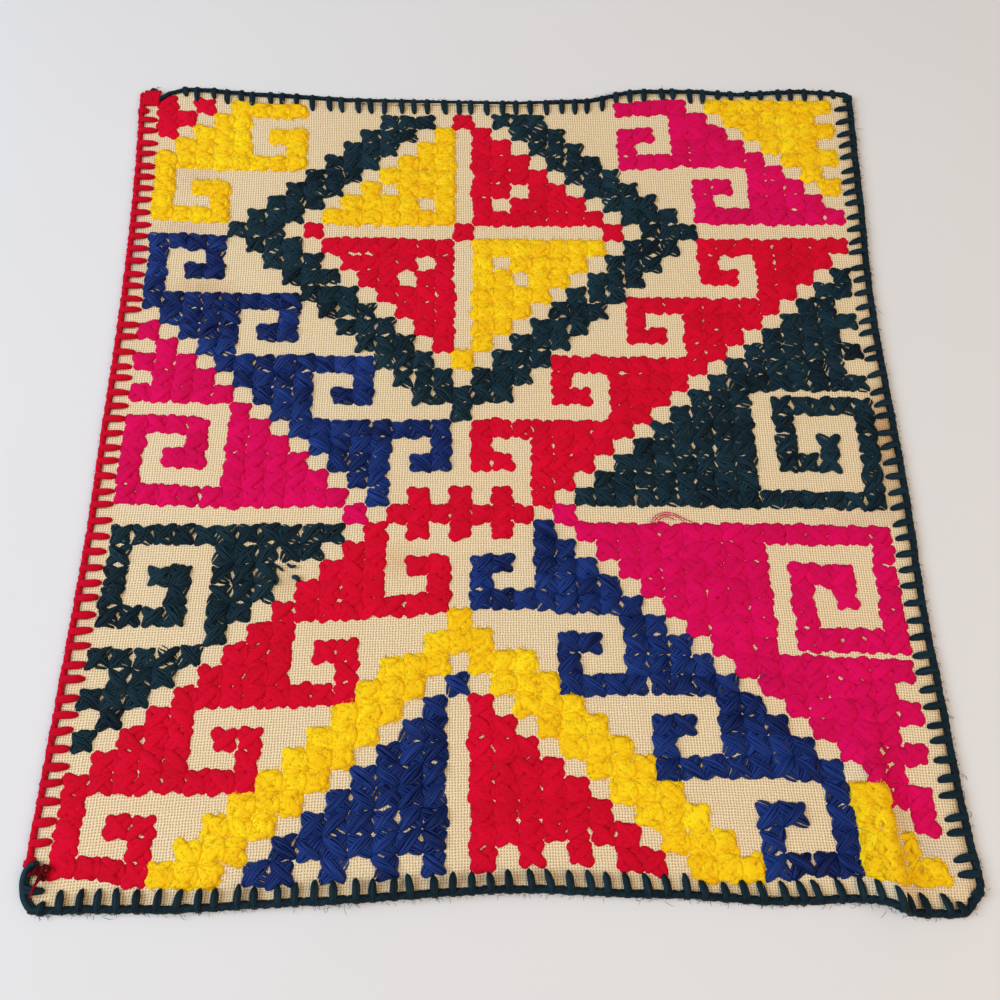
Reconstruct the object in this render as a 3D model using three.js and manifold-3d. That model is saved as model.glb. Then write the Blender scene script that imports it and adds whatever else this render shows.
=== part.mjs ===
// Cross-stitched panel: one piece of cream cotton cloth worked in thick wool yarn with stepped hooks,
// key blocks, a quartered lozenge and a chevron, its raw edges bound with blanket stitch.
// It lies flat, with one soft ridge at the bottom right. Millimetres, +Z up.
import * as THREE from 'three';
import { mergeVertices } from 'three/addons/utils/BufferGeometryUtils.js';
import Module from 'manifold-3d';

const wasm = await Module();
wasm.setup();

// Stitch grid: column 0 and row 0 are the stitch at the heart of the lozenge, rows count downwards
const FIRST_COLUMN = -16;
const LAST_COLUMN = 20;
const FIRST_ROW = -9;
const LAST_ROW = 35;
const MID_COLUMN = (FIRST_COLUMN + LAST_COLUMN) / 2;
const MID_ROW = (FIRST_ROW + LAST_ROW) / 2;
const HALF_COLUMNS = (LAST_COLUMN - FIRST_COLUMN + 1) / 2;
const HALF_ROWS = (LAST_ROW - FIRST_ROW + 1) / 2;

// How the stitched ground lies on the table
const GROUND_CENTRE = { x: 0.25, y: 4.685 };
const HALF_WIDTH = 145.7; // half the stitched width across the waist
const HALF_LENGTH = 158.2; // half the stitched length along the middle
const WAIST = 5.2; // the outer columns stand this much further out at top and bottom
const COLUMN_REACH = 1.1; // columns get wider towards both sides
const COLUMN_SWAY = 2.0; // sideways drift of the last row, and the other way of the first
const COLUMN_FLARE = 1.9; // extra half width at the bottom
const COLUMN_DRIFT = 1.2; // both side columns sit this far to the left
const ROW_REACH = 3.2; // rows get taller towards both ends
const ROW_GROWTH = 2.6; // rows get taller towards the bottom
const ROW_TILT = 0.6; // the right side sits lower across the waist
const ROW_SKEW = 2.1; // the right side rises towards the bottom
const ROW_TWIST = 2.3; // the right side rises towards both ends
const ROW_SAG = 0.5; // rows sag at both sides
const ROW_FAN = 4.7; // rows fan apart at both sides

// Sheet, relief and clearances
const CLOTH_THICK = 1.2;
const SEAT_GAP = 0.3; // air between a piece and what it lies on
const FIELD_INSET = 0.026; // share of a stitch left free round each field
const BRIDGE_HALF = 0.09; // half width, in stitches, where two stitches meet corner to corner
const RELIEF = { rim: 0.8, valley: 1.1, crown: 1.8 };

// Soft ridge that runs up from the bottom edge, and the lifted bottom hem
const RIDGE = { column: 18.5, height: 5.5, fromRow: 26, toRow: 34.5, leftReach: 2, rightReach: 1.1 };
const GATHER = { width: 4.2, fromColumn: 16.5, toColumn: 19.5 }; // cloth drawn up into the ridge
const HEM_LIFT = [
  { column: -17, lift: 0.3 },
  { column: -9, lift: 1.3 },
  { column: 1, lift: 2.2 },
  { column: 7, lift: 1.2 },
  { column: 10, lift: 0.3 },
  { column: 21, lift: 0.3 },
];

// Width beyond the outermost stitches, up to the outer side of the edging
const LEFT_MARGIN = [
  { row: -9, margin: 9.1 },
  { row: 12, margin: 9.2 },
  { row: 20, margin: 8.2 },
  { row: 35, margin: 8.2 },
];
const RIGHT_MARGIN = [
  { row: -9, margin: 10 },
  { row: -3, margin: 9.4 },
  { row: 4, margin: 8.2 },
  { row: 16, margin: 10.2 },
  { row: 25, margin: 8.6 },
  { row: 35, margin: 11.4 },
];
const TOP_MARGIN = [
  { column: -17, margin: 2 },
  { column: -14.5, margin: 5.4 },
  { column: -11, margin: 4 },
  { column: -5, margin: 2.4 },
  { column: 3, margin: 2 },
  { column: 6.5, margin: 3 },
  { column: 10, margin: 8.2 },
  { column: 12.5, margin: 7.8 },
  { column: 15.5, margin: 5.4 },
  { column: 18.5, margin: 6 },
  { column: 21, margin: 4 },
];
const BOTTOM_MARGIN = [
  { column: -17, margin: 3.6 },
  { column: -10, margin: 6.8 },
  { column: -5, margin: 7 },
  { column: 2, margin: 5.7 },
  { column: 8, margin: 7.8 },
  { column: 13, margin: 9.8 },
  { column: 16.7, margin: 8.4 },
  { column: 19.3, margin: 12.2 },
  { column: 21, margin: 11.8 },
];

// Grid lines of the sheet: wide apart where it lies flat, one a stitch across the ridge
const FLAT_STEP = 4;
const spaced = (first, last, step) =>
  Array.from({ length: Math.round((last - first) / step) + 1 }, (_, i) => first + i * step);
const COLUMN_LINES = [
  -16.5, -14.5, ...spaced(-12.5, 3.5, FLAT_STEP), 6.5, 8.5, 11.5, ...spaced(14.5, 20.5, 1),
];
const ROW_LINES = [...spaced(-9.5, 22.5, FLAT_STEP), ...spaced(25.5, 35.5, 1)];

// Blanket stitch: a cord along the edge with legs over the cloth
const CORD_RADIUS = 1.1;
const CORD_SIDES = 6;
const CORD_MID_HEIGHT = 1.3;
const LEG_ROOT = { halfWidth: 1.05, height: 1.2 };
const LEG_TIP = { halfWidth: 0.5, height: 0.6 };
const LEG_CLEAR = 0.5; // air between a leg's tip and the first stitch it points at
const CORNER_FREE = 3.5; // no legs this close to an edge's ends
const GREEN_START = 1.2; // the green cord starts and ends this far from the red corners
const RED_LEG_LENGTH = 7.5;
const GREEN_LEG_LENGTH = 6;
const LEGS = { top: 48, right: 54, bottom: 49, left: 53 };

// Yarn and cloth colours
const COLOURS = {
  cream: '#e6caa0',
  red: '#cf0d2c',
  magenta: '#d80b63',
  yellow: '#efbb12',
  blue: '#1c2c73',
  green: '#0f2b30',
};

// Value between the rows of a table, eased from one row to the next
function between(table, key, value, at) {
  if (at <= table[0][key]) return table[0][value];
  for (let i = 1; i < table.length; i += 1) {
    const [low, high] = [table[i - 1], table[i]];
    if (at <= high[key]) {
      const share = THREE.MathUtils.smoothstep(at, low[key], high[key]);
      return THREE.MathUtils.lerp(low[value], high[value], share);
    }
  }
  return table[table.length - 1][value];
}

// Height of the ridge at a point of the stitch grid
function ridgeHeight(column, row) {
  const across = column - RIDGE.column;
  const reach = across < 0 ? RIDGE.leftReach : RIDGE.rightReach;
  const side = Math.max(0, 1 - Math.abs(across) / reach);
  return RIDGE.height * side * THREE.MathUtils.smoothstep(row, RIDGE.fromRow, RIDGE.toRow);
}

// How far the ridge draws a point of the stitch grid to the left
function gathered(column, row) {
  const across = THREE.MathUtils.smoothstep(column, GATHER.fromColumn, GATHER.toColumn);
  return GATHER.width * across * THREE.MathUtils.smoothstep(row, RIDGE.fromRow, RIDGE.toRow);
}

// Place of a point of the stitch grid on the table, at the underside of the cloth
function lay(column, row) {
  const u = (column - MID_COLUMN) / HALF_COLUMNS;
  const v = (row - MID_ROW) / HALF_ROWS;
  const spread = HALF_WIDTH + COLUMN_FLARE * v + WAIST * v * v + COLUMN_REACH * u * u;
  const level = spread * u + COLUMN_SWAY * v ** 3 - COLUMN_DRIFT * u * u;
  const x = GROUND_CENTRE.x + level - gathered(column, row);
  const length = HALF_LENGTH + ROW_REACH * v * v + ROW_FAN * u * u;
  const drop = length * v + ROW_GROWTH * v * v + ROW_SAG * u * u;
  const y = GROUND_CENTRE.y - drop + (ROW_SKEW * v + ROW_TWIST * v * v - ROW_TILT) * u;
  return new THREE.Vector3(x, y, ridgeHeight(column, row));
}

// Cells of the grid that a rule picks
function cellsWhere(rule) {
  const cells = [];
  for (let row = FIRST_ROW; row <= LAST_ROW; row += 1) {
    for (let column = FIRST_COLUMN; column <= LAST_COLUMN; column += 1) {
      if (rule(column, row)) cells.push({ column, row });
    }
  }
  return cells;
}

// Motif counts, in stitches: out is counted from the middle column, down from a motif's own axis row
const STAIR_SUM = 22; // out and down of the bare stitches between two motifs add up to this
const HOOK_STEP = 4;
const HOOKS = 4;
const HOOK_BODY = 16;
const HOOK_TURN = 3; // a hook's end column is this far inside its body
const HOOK_AXES = { upper: 0, lower: 36 };
const KEY_AXIS = 18;
const KEY_TIP = 5; // a key block's row starts this far out of its stair
const TOP_ROWS = 9;
const TOP_BAR = 9; // the top hooks end this far out
const RED_NOTCH = 15; // bare stitch in the top row of the red corner

// Run of stepped hooks that climbs inwards from the border
function hookRun({ side, axis, way, border, rows, innermost }) {
  return cellsWhere((column, row) => {
    const out = side * column;
    const down = way * (row - axis);
    if (down < 1 || down > rows || out > Math.min(border, STAIR_SUM - 1 - down)) return false;
    const hook = Math.min(Math.floor((down - 1) / HOOK_STEP), HOOKS - 1);
    const phase = down - 1 - HOOK_STEP * hook;
    const body = Math.max(HOOK_BODY - HOOK_STEP * hook, innermost);
    const end = Math.max(body - HOOK_TURN, innermost);
    if (out >= body) return true;
    if (phase === 0) return out >= end;
    if (phase === 1) return out === end;
    return phase === 2 && (out === end || out === end + 1);
  });
}

// Spirals of the key blocks, charted from the row furthest from the axis
const LEFT_SPIRAL = ['XXXX', 'X..X', 'XX.X', '...X'];
const RIGHT_SPIRAL = ['XXXXX', 'X...X', 'X.X.X', 'XXX.X', '....X'];

// Key block: a stepped triangle with a comb edge, and a square spiral let into it
function keyBlock({ side, way, border, spiral, meets, worn }) {
  const width = spiral[0].length;
  const bodyEnd = border - width - 1;
  const gapRow = width + 2;
  return cellsWhere((column, row) => {
    const out = side * column;
    const down = way * (row - KEY_AXIS);
    if (down === 0) return meets && out === KEY_TIP;
    if (down < 0 || out < down + KEY_TIP || out > border) return false;
    if (worn && column === worn.column && row === worn.row) return false;
    if (down === 1 || out === down + KEY_TIP) return true;
    if (down <= gapRow) {
      const chart = spiral[gapRow - 1 - down];
      return out <= bodyEnd || (chart !== undefined && chart[out - bodyEnd - 2] === 'X');
    }
    return out !== border || (down - gapRow) % 2 === 1;
  });
}

// Stepped corner at the top border, with bare notches on its edge
function topCorner({ side, border, notch }) {
  return cellsWhere((column, row) => {
    const out = side * column;
    const up = HOOK_AXES.upper - row;
    return up <= TOP_ROWS && out > STAIR_SUM - up && out <= border && !notch(out, up);
  });
}

// Lozenge: stepped frame, open at the top, round four stepped quarters
const FRAME_IN = 10;
const FRAME_OUT = 12;
const FRAME_TOP = -8;
const FRAME_FOOT = 10;
const QUARTER = 8;
const QUARTER_HOLES = [
  { column: -4, row: -3 },
  { column: -2, row: -2 },
  { column: 3, row: -3 },
  { column: 2, row: -2 },
  { column: -2, row: 2 },
  { column: -3, row: 3 },
  { column: 2, row: 2 },
  { column: 3, row: 3 },
];

function frameCell(column, row) {
  const sum = Math.abs(column) + Math.abs(row);
  const band = sum >= FRAME_IN && sum <= FRAME_OUT && row >= FRAME_TOP && row <= FRAME_FOOT;
  return band || (column === 0 && row === FRAME_FOOT + 1);
}

function quarterCell(column, row) {
  const hole = QUARTER_HOLES.some((bare) => bare.column === column && bare.row === row);
  return column !== 0 && row !== 0 && Math.abs(column) + Math.abs(row) <= QUARTER && !hole;
}

function redQuarterCell(column, row) {
  const heart = column === 0 && row === 0;
  const tip = (column === 0 && row === -QUARTER) || (row === 0 && Math.abs(column) === QUARTER);
  return heart || tip || (column * row < 0 && quarterCell(column, row));
}

function lowerYellowCell(column, row) {
  return (column === 0 && row === QUARTER) || (column > 0 && row > 0 && quarterCell(column, row));
}

// Bottom middle: comb, chevron and two stepped triangles with toothed feet
const COMB_HALF = 3;
const CHEVRON_TOP = 24;
const TRIANGLE_TOP = 27;

function combCell(column, row) {
  const reach = Math.abs(row - KEY_AXIS);
  if (reach === 0) return Math.abs(column) <= COMB_HALF;
  return reach === 1 && Math.abs(column) < COMB_HALF && column % 2 === 0;
}

function chevronCell(column, row) {
  const down = row - CHEVRON_TOP;
  const out = Math.abs(column);
  return down >= 0 && out <= down + 1 && (down > 1 ? out >= down - 1 : out <= down);
}

function triangleCell(side, column, row) {
  const out = side * column;
  const down = row - TRIANGLE_TOP;
  if (out < 1 || down < 1 || out > down) return false;
  return row < LAST_ROW || out % 2 === 1 || out === down;
}

const HEM_ROWS = 0.35; // share of a stitch within which a stitch that hangs over the hem is lifted with it

// Hand counting drifts: rows and columns wander here and there, by shares of a stitch
const DRIFTS = [
  { column: 1.5, row: 22.8, reach: 2.6, up: 0.39 },
  { column: -7, row: 28, reach: 3.5, up: -0.32 },
  { column: 11, row: 35, reach: 2.2, up: -0.37 },
  { column: 4, row: 35, reach: 2.2, up: 0.42 },
  { column: 12.5, row: 31, reach: 2.2, up: 0.24 },
  { column: -16, row: 15, reach: 2.4, up: 0.42 },
  { column: 13, row: -2, reach: 3, up: 0.36 },
  { column: -12.5, row: -5, reach: 3, up: -0.36 },
  { column: -16.5, row: 37, reach: 2.6, up: 1.1 },
  { column: -13.5, row: 23.5, reach: 3, up: -0.22 },
  { column: 19.5, row: -6.5, reach: 2.5, up: 0.2 },
  { column: 4, row: 8.5, reach: 2.6, up: 0.2 },
  { column: 14, row: 1, reach: 2.4, up: -0.22 },
  { column: -13, row: 30.5, reach: 2.8, up: 0.14 },
  { column: 2.5, row: -8, reach: 2.2, up: 0.25 },
  { column: 12, row: -9, reach: 1.8, up: 0.25 },
  { column: -9.5, row: -10, reach: 2, up: -0.28 },
  { column: 19.5, row: -10, reach: 1.5, up: -0.3 },
  { column: 20, row: 36, reach: 1.6, up: -0.3 },
  { column: 20, row: 28, reach: 1.5, up: -0.2 },
];
const SIDE_DRIFTS = [
  { column: 19, row: 13.5, reach: 3, right: 0.25 },
  { column: -16, row: 21, reach: 2.4, right: 0.19 },
  { column: 15.5, row: 33.5, reach: 1.2, right: 0.14 },
  { column: -7.5, row: 35.5, reach: 2.2, right: -0.22 },
  { column: 4, row: -7.5, reach: 2.4, right: 0.18 },
];

function driftNear(drifts, way, column, row) {
  return drifts.reduce((sum, drift) => {
    const away = Math.hypot(column - drift.column, row - drift.row) / drift.reach;
    return sum + drift[way] * Math.exp(-(away ** 2) / 2);
  }, 0);
}

function wander(column, row) {
  const up = driftNear(DRIFTS, 'up', column, row);
  const right = driftNear(SIDE_DRIFTS, 'right', column, row);
  const place = lay(column + right, row - up);
  const below = THREE.MathUtils.clamp((row - up - LAST_ROW - 0.5) / HEM_ROWS, 0, 1);
  place.z += below * between(HEM_LIFT, 'column', 'lift', column);
  return place;
}

// The lozenge's lower half and the right spirals are worked a little taller
const LOZENGE_STRETCH = 12 / 11;
const SPIRAL_STRETCH = 1.13;
const SPIRAL_FIRST = 1.5;
const SPIRAL_SIDE = 15;

function layLozenge(column, row) {
  return wander(column, row > 0 ? row * LOZENGE_STRETCH : row);
}

function layRightKey(column, row) {
  const reach = Math.abs(row - KEY_AXIS);
  const inSpiral = column > SPIRAL_SIDE && reach > SPIRAL_FIRST && reach < RIGHT_SPIRAL.length + 2;
  if (!inSpiral) return wander(column, row);
  const stretched = SPIRAL_FIRST + (reach - SPIRAL_FIRST) * SPIRAL_STRETCH;
  return wander(column, KEY_AXIS + Math.sign(row - KEY_AXIS) * stretched);
}

// Stitched fields, each one yarn and one solid
const ALL_HOOK_ROWS = HOOK_STEP * HOOKS + 1;
const SPLIT_CORNER = { column: 17, row: 32 }; // the bottom right corner changes yarn from here on
const WORN_STITCH = { column: -8, row: 21 };
const { upper, lower } = HOOK_AXES;
const FIELDS = [
  {
    name: 'red_corner',
    yarn: 'red',
    cells: topCorner({
      side: -1, border: -FIRST_COLUMN, notch: (out, up) => out === RED_NOTCH && up === TOP_ROWS,
    }),
  },
  {
    name: 'yellow_hooks',
    yarn: 'yellow',
    cells: hookRun({
      side: -1, axis: upper, way: -1, border: -FIRST_COLUMN, rows: TOP_ROWS, innermost: TOP_BAR,
    }),
  },
  {
    name: 'magenta_hooks',
    yarn: 'magenta',
    cells: hookRun({
      side: 1, axis: upper, way: -1, border: LAST_COLUMN, rows: TOP_ROWS, innermost: TOP_BAR,
    }),
  },
  {
    name: 'yellow_corner_top',
    yarn: 'yellow',
    cells: topCorner({
      side: 1, border: LAST_COLUMN, notch: (out, up) => out === LAST_COLUMN && up % 2 === 0,
    }),
  },
  { name: 'lozenge_frame', yarn: 'green', cells: cellsWhere(frameCell), layCell: layLozenge },
  { name: 'lozenge_red', yarn: 'red', cells: cellsWhere(redQuarterCell), layCell: layLozenge },
  {
    name: 'lozenge_yellow_upper',
    yarn: 'yellow',
    cells: cellsWhere((column, row) => column < 0 && row < 0 && quarterCell(column, row)),
    layCell: layLozenge,
  },
  { name: 'lozenge_yellow_lower', yarn: 'yellow', cells: cellsWhere(lowerYellowCell), layCell: layLozenge },
  {
    name: 'blue_hooks_upper',
    yarn: 'blue',
    cells: hookRun({
      side: -1, axis: upper, way: 1, border: -FIRST_COLUMN, rows: ALL_HOOK_ROWS, innermost: 1,
    }),
  },
  {
    name: 'red_hooks_upper',
    yarn: 'red',
    cells: hookRun({ side: 1, axis: upper, way: 1, border: LAST_COLUMN, rows: ALL_HOOK_ROWS, innermost: 1 }),
  },
  {
    name: 'magenta_key_left',
    yarn: 'magenta',
    cells: keyBlock({ side: -1, way: -1, border: -FIRST_COLUMN, spiral: LEFT_SPIRAL, meets: true }),
  },
  {
    name: 'green_key_left',
    yarn: 'green',
    cells: keyBlock({ side: -1, way: 1, border: -FIRST_COLUMN, spiral: LEFT_SPIRAL, worn: WORN_STITCH }),
  },
  {
    name: 'green_key_right',
    yarn: 'green',
    cells: keyBlock({ side: 1, way: -1, border: LAST_COLUMN, spiral: RIGHT_SPIRAL }),
    layCell: layRightKey,
  },
  {
    name: 'magenta_key_right',
    yarn: 'magenta',
    cells: keyBlock({ side: 1, way: 1, border: LAST_COLUMN, spiral: RIGHT_SPIRAL, meets: true }),
    layCell: layRightKey,
  },
  { name: 'red_comb', yarn: 'red', cells: cellsWhere(combCell) },
  {
    name: 'red_hooks_lower',
    yarn: 'red',
    cells: hookRun({
      side: -1, axis: lower, way: -1, border: -FIRST_COLUMN, rows: ALL_HOOK_ROWS, innermost: 1,
    }),
  },
  {
    name: 'blue_hooks_lower',
    yarn: 'blue',
    cells: hookRun({
      side: 1, axis: lower, way: -1, border: SPLIT_CORNER.column - 1, rows: ALL_HOOK_ROWS, innermost: 1,
    }),
  },
  {
    name: 'yellow_corner_bottom',
    yarn: 'yellow',
    cells: cellsWhere((column, row) => {
      const last = Math.max(SPLIT_CORNER.column + 1, STAIR_SUM - 1 - (lower - row));
      return row >= SPLIT_CORNER.row && column >= SPLIT_CORNER.column && column <= last;
    }),
  },
  { name: 'yellow_chevron', yarn: 'yellow', cells: cellsWhere(chevronCell) },
  {
    name: 'blue_triangle',
    yarn: 'blue',
    cells: cellsWhere(
      (column, row) => (column === 0 && row === TRIANGLE_TOP) || triangleCell(-1, column, row),
    ),
  },
  { name: 'red_triangle', yarn: 'red', cells: cellsWhere((column, row) => triangleCell(1, column, row)) },
];

// Collects triangles over shared points
class Shell {
  constructor() {
    this.points = [];
    this.faces = [];
  }

  point(vector) {
    this.points.push(vector.x, vector.y, vector.z);
    return this.points.length / 3 - 1;
  }

  face(...corners) {
    for (let i = 1; i + 1 < corners.length; i += 1) this.faces.push(corners[0], corners[i], corners[i + 1]);
  }

  geometry() {
    const geometry = new THREE.BufferGeometry();
    geometry.setAttribute('position', new THREE.Float32BufferAttribute(this.points, 3));
    geometry.setIndex(this.faces);
    geometry.computeVertexNormals();
    return geometry;
  }
}

// Raised relief of a field: every stitch a low plump cushion, neighbours joined edge to edge
function fieldGeometry({ cells, layCell = wander }) {
  const worked = new Set(cells.map(({ column, row }) => `${column},${row}`));
  const has = (column, row) => worked.has(`${column},${row}`);
  const shell = new Shell();
  const corners = new Map();

  const seat = (column, row, height) => {
    const place = layCell(column, row);
    place.z += CLOTH_THICK + SEAT_GAP + height;
    return place;
  };

  // Points of a grid corner: one, or two where only diagonal neighbours meet
  const cornerPoints = (column, row, from) => {
    const near = [[-1, -1], [1, -1], [1, 1], [-1, 1]].map(([side, down]) => ({
      side, down, on: has(column + side / 2, row + down / 2),
    }));
    const on = near.filter((cell) => cell.on);
    const height = on.length === 4 ? RELIEF.valley : RELIEF.rim;
    const make = (key, shiftColumn, shiftRow) => {
      if (!corners.has(key)) {
        const at = [column + shiftColumn, row + shiftRow];
        corners.set(key, { top: shell.point(seat(...at, height)), low: shell.point(seat(...at, 0)) });
      }
      return corners.get(key);
    };
    const diagonal = on.length === 2 && on[0].side === -on[1].side && on[0].down === -on[1].down;
    if (!diagonal) {
      const pull = (axis) => FIELD_INSET * Math.sign(on.reduce((sum, cell) => sum + cell[axis], 0));
      return [make(`${column},${row}`, pull('side'), pull('down'))];
    }
    const slope = -on[0].side * on[0].down;
    const pair = [-1, 1].map((end) =>
      make(`${column},${row},${end}`, end * BRIDGE_HALF, end * slope * BRIDGE_HALF));
    return from.down > 0 ? pair : pair.reverse();
  };

  const edges = new Map();
  for (const { column, row } of cells) {
    const ring = [[-1, 1], [1, 1], [1, -1], [-1, -1]].flatMap(([side, down]) =>
      cornerPoints(column + side / 2, row + down / 2, { side, down }));
    const crown = shell.point(seat(column, row, RELIEF.crown));
    ring.forEach((corner, i) => {
      const next = ring[(i + 1) % ring.length];
      shell.face(crown, corner.top, next.top);
      const back = `${next.top},${corner.top}`;
      if (edges.has(back)) edges.delete(back);
      else edges.set(`${corner.top},${next.top}`, [corner, next]);
    });
    const low = ring.map((corner) => corner.low);
    shell.face(low[0], ...low.slice(1).reverse());
  }
  for (const [corner, next] of edges.values()) shell.face(corner.top, corner.low, next.low, next.top);
  return shell.geometry();
}

// Cloth left free beyond the stitches at each side
const EDGING_WIDTH = 2 * CORD_RADIUS + SEAT_GAP;
const leftMargin = (row) => between(LEFT_MARGIN, 'row', 'margin', row) - EDGING_WIDTH;
const rightMargin = (row) => between(RIGHT_MARGIN, 'row', 'margin', row) - EDGING_WIDTH;
const topMargin = (column) => between(TOP_MARGIN, 'column', 'margin', column) - EDGING_WIDTH;
const bottomMargin = (column) => between(BOTTOM_MARGIN, 'column', 'margin', column) - EDGING_WIDTH;

// Point of the sheet's underside by line number, where the first and last lines are the cut edges
const LAST_ACROSS = COLUMN_LINES.length + 1;
const LAST_DOWN = ROW_LINES.length + 1;

function sheetPoint(across, down) {
  const column = COLUMN_LINES[THREE.MathUtils.clamp(across - 1, 0, COLUMN_LINES.length - 1)];
  const row = ROW_LINES[THREE.MathUtils.clamp(down - 1, 0, ROW_LINES.length - 1)];
  const place = lay(column, row);
  if (across === 0) place.x -= leftMargin(row);
  if (across === LAST_ACROSS) place.x += rightMargin(row);
  if (down === 0) place.y += topMargin(column);
  if (down === LAST_DOWN) {
    place.y -= bottomMargin(column);
    place.z += between(HEM_LIFT, 'column', 'lift', column);
  }
  return place;
}

// Ground cloth: one sheet that follows the grid lines
function clothGeometry() {
  const box = new THREE.BoxGeometry(LAST_ACROSS, LAST_DOWN, 1, LAST_ACROSS, LAST_DOWN, 1);
  box.deleteAttribute('normal');
  box.deleteAttribute('uv');
  const geometry = mergeVertices(box);
  const position = geometry.getAttribute('position');
  for (let i = 0; i < position.count; i += 1) {
    const across = Math.round(position.getX(i) + LAST_ACROSS / 2);
    const down = Math.round(LAST_DOWN / 2 - position.getY(i));
    const place = sheetPoint(across, down);
    const thick = position.getZ(i) > 0 ? CLOTH_THICK : 0;
    position.setXYZ(i, place.x, place.y, place.z + thick);
  }
  geometry.computeVertexNormals();
  return geometry;
}

// Cut edges of the sheet, walked with the cloth on the left hand
const EDGES = {
  bottom: spaced(0, LAST_ACROSS, 1).map((across) => sheetPoint(across, LAST_DOWN)),
  right: spaced(0, LAST_DOWN, 1).reverse().map((down) => sheetPoint(LAST_ACROSS, down)),
  top: spaced(0, LAST_ACROSS, 1).reverse().map((across) => sheetPoint(across, 0)),
  left: spaced(0, LAST_DOWN, 1).map((down) => sheetPoint(0, down)),
};

// Point a given way along from one point towards another
function along(from, to, distance) {
  return to.clone().sub(from).setLength(distance).add(from);
}

// Level direction at the left hand of a walk from one point to the next
function leftHand(from, to) {
  return new THREE.Vector3(from.y - to.y, to.x - from.x, 0).normalize();
}

// Closed solid through rings of points that turn left about the walk
function loft(rings) {
  const shell = new Shell();
  const numbered = rings.map((ring) => ring.map((place) => shell.point(place)));
  for (let k = 0; k + 1 < numbered.length; k += 1) {
    const [near, far] = [numbered[k], numbered[k + 1]];
    near.forEach((corner, i) => {
      const next = (i + 1) % near.length;
      shell.face(corner, near[next], far[next], far[i]);
    });
  }
  shell.face(...[...numbered[0]].reverse());
  shell.face(...numbered[numbered.length - 1]);
  return shell.geometry();
}

function solid(geometry) {
  const vertProperties = new Float32Array(geometry.getAttribute('position').array);
  const triVerts = new Uint32Array(geometry.getIndex().array);
  return new wasm.Manifold(new wasm.Mesh({ numProp: 3, vertProperties, triVerts }));
}

function shape(manifold) {
  const { vertProperties, triVerts } = manifold.getMesh();
  const geometry = new THREE.BufferGeometry();
  geometry.setAttribute('position', new THREE.Float32BufferAttribute(vertProperties, 3));
  geometry.setIndex([...triVerts]);
  geometry.computeVertexNormals();
  return geometry;
}

// Cord that lies just outside a walk along the cut edge
function cordGeometry(walk) {
  const offset = CORD_RADIUS + SEAT_GAP;
  const rings = walk.map((place, i) => {
    const before = i > 0 ? leftHand(walk[i - 1], place) : leftHand(place, walk[i + 1]);
    const after = i + 1 < walk.length ? leftHand(place, walk[i + 1]) : before;
    const inward = before.clone().add(after).divideScalar(1 + before.dot(after));
    const middle = place.clone().addScaledVector(inward, -offset);
    middle.z += CORD_MID_HEIGHT;
    return Array.from({ length: CORD_SIDES }, (_, side) => {
      const angle = (2 * Math.PI * side) / CORD_SIDES;
      const point = middle.clone().addScaledVector(inward, CORD_RADIUS * Math.cos(angle));
      point.z += CORD_RADIUS * Math.sin(angle);
      return point;
    });
  });
  return loft(rings);
}

// Free way for a leg from the cut edge to the first stitch
const STITCHES = FIELDS.flatMap(({ cells, layCell = wander }) =>
  cells.map(({ column, row }) => layCell(column, row)));
const STITCH_HALF = { x: 4.1, y: 3.9 };
const PROBE_STEP = 0.25;

function freeReach(root, inward, tangent, longest) {
  for (let reach = PROBE_STEP; reach < longest + LEG_CLEAR; reach += PROBE_STEP) {
    const hit = [-1, 0, 1].some((side) => {
      const probe = root.clone().addScaledVector(inward, reach);
      probe.addScaledVector(tangent, side * LEG_ROOT.halfWidth);
      return STITCHES.some(({ x, y }) =>
        Math.abs(x - probe.x) < STITCH_HALF.x && Math.abs(y - probe.y) < STITCH_HALF.y);
    });
    if (hit) return reach - LEG_CLEAR;
  }
  return longest;
}

// One tapered leg that lies over the cloth from the cord inwards
function legGeometry(root, inward, tangent, reach) {
  const upward = tangent.clone().cross(inward).normalize();
  const ring = (distance, { halfWidth, height }) => {
    const middle = root.clone().addScaledVector(inward, distance);
    middle.addScaledVector(upward, CLOTH_THICK + SEAT_GAP);
    const sideways = tangent.clone().multiplyScalar(halfWidth);
    const rise = upward.clone().multiplyScalar(height);
    return [middle.clone().sub(sideways), middle.clone().add(rise), middle.clone().add(sideways)];
  };
  return loft([ring(-CORD_RADIUS - SEAT_GAP, LEG_ROOT), ring(reach, LEG_TIP)]);
}

// Legs spread evenly along one cut edge, each along the threads of the cloth
const INWARD = {
  bottom: new THREE.Vector3(0, 1, 0),
  right: new THREE.Vector3(-1, 0, 0),
  top: new THREE.Vector3(0, -1, 0),
  left: new THREE.Vector3(1, 0, 0),
};

function edgeLegs(name, longest) {
  const edge = EDGES[name];
  const legs = LEGS[name];
  const inward = INWARD[name];
  const path = new THREE.CurvePath();
  for (let i = 0; i + 1 < edge.length; i += 1) path.add(new THREE.LineCurve3(edge[i], edge[i + 1]));
  const length = path.getLength();
  const pitch = (length - 2 * CORNER_FREE) / (legs - 1);
  return Array.from({ length: legs }, (_, i) => {
    const fromCorner = CORNER_FREE + Math.min(i, legs - 1 - i) * pitch;
    const share = (CORNER_FREE + i * pitch) / length;
    const root = path.getPointAt(share);
    const tangent = path.getTangentAt(share);
    const open = Math.min(longest, fromCorner - 2 * LEG_ROOT.halfWidth);
    const reach = freeReach(root, inward, tangent, open);
    return legGeometry(root, inward, tangent, reach);
  });
}

function edgingGeometry(walk, legs) {
  return shape(legs.reduce((whole, leg) => whole.add(solid(leg)), solid(cordGeometry(walk))));
}

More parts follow.
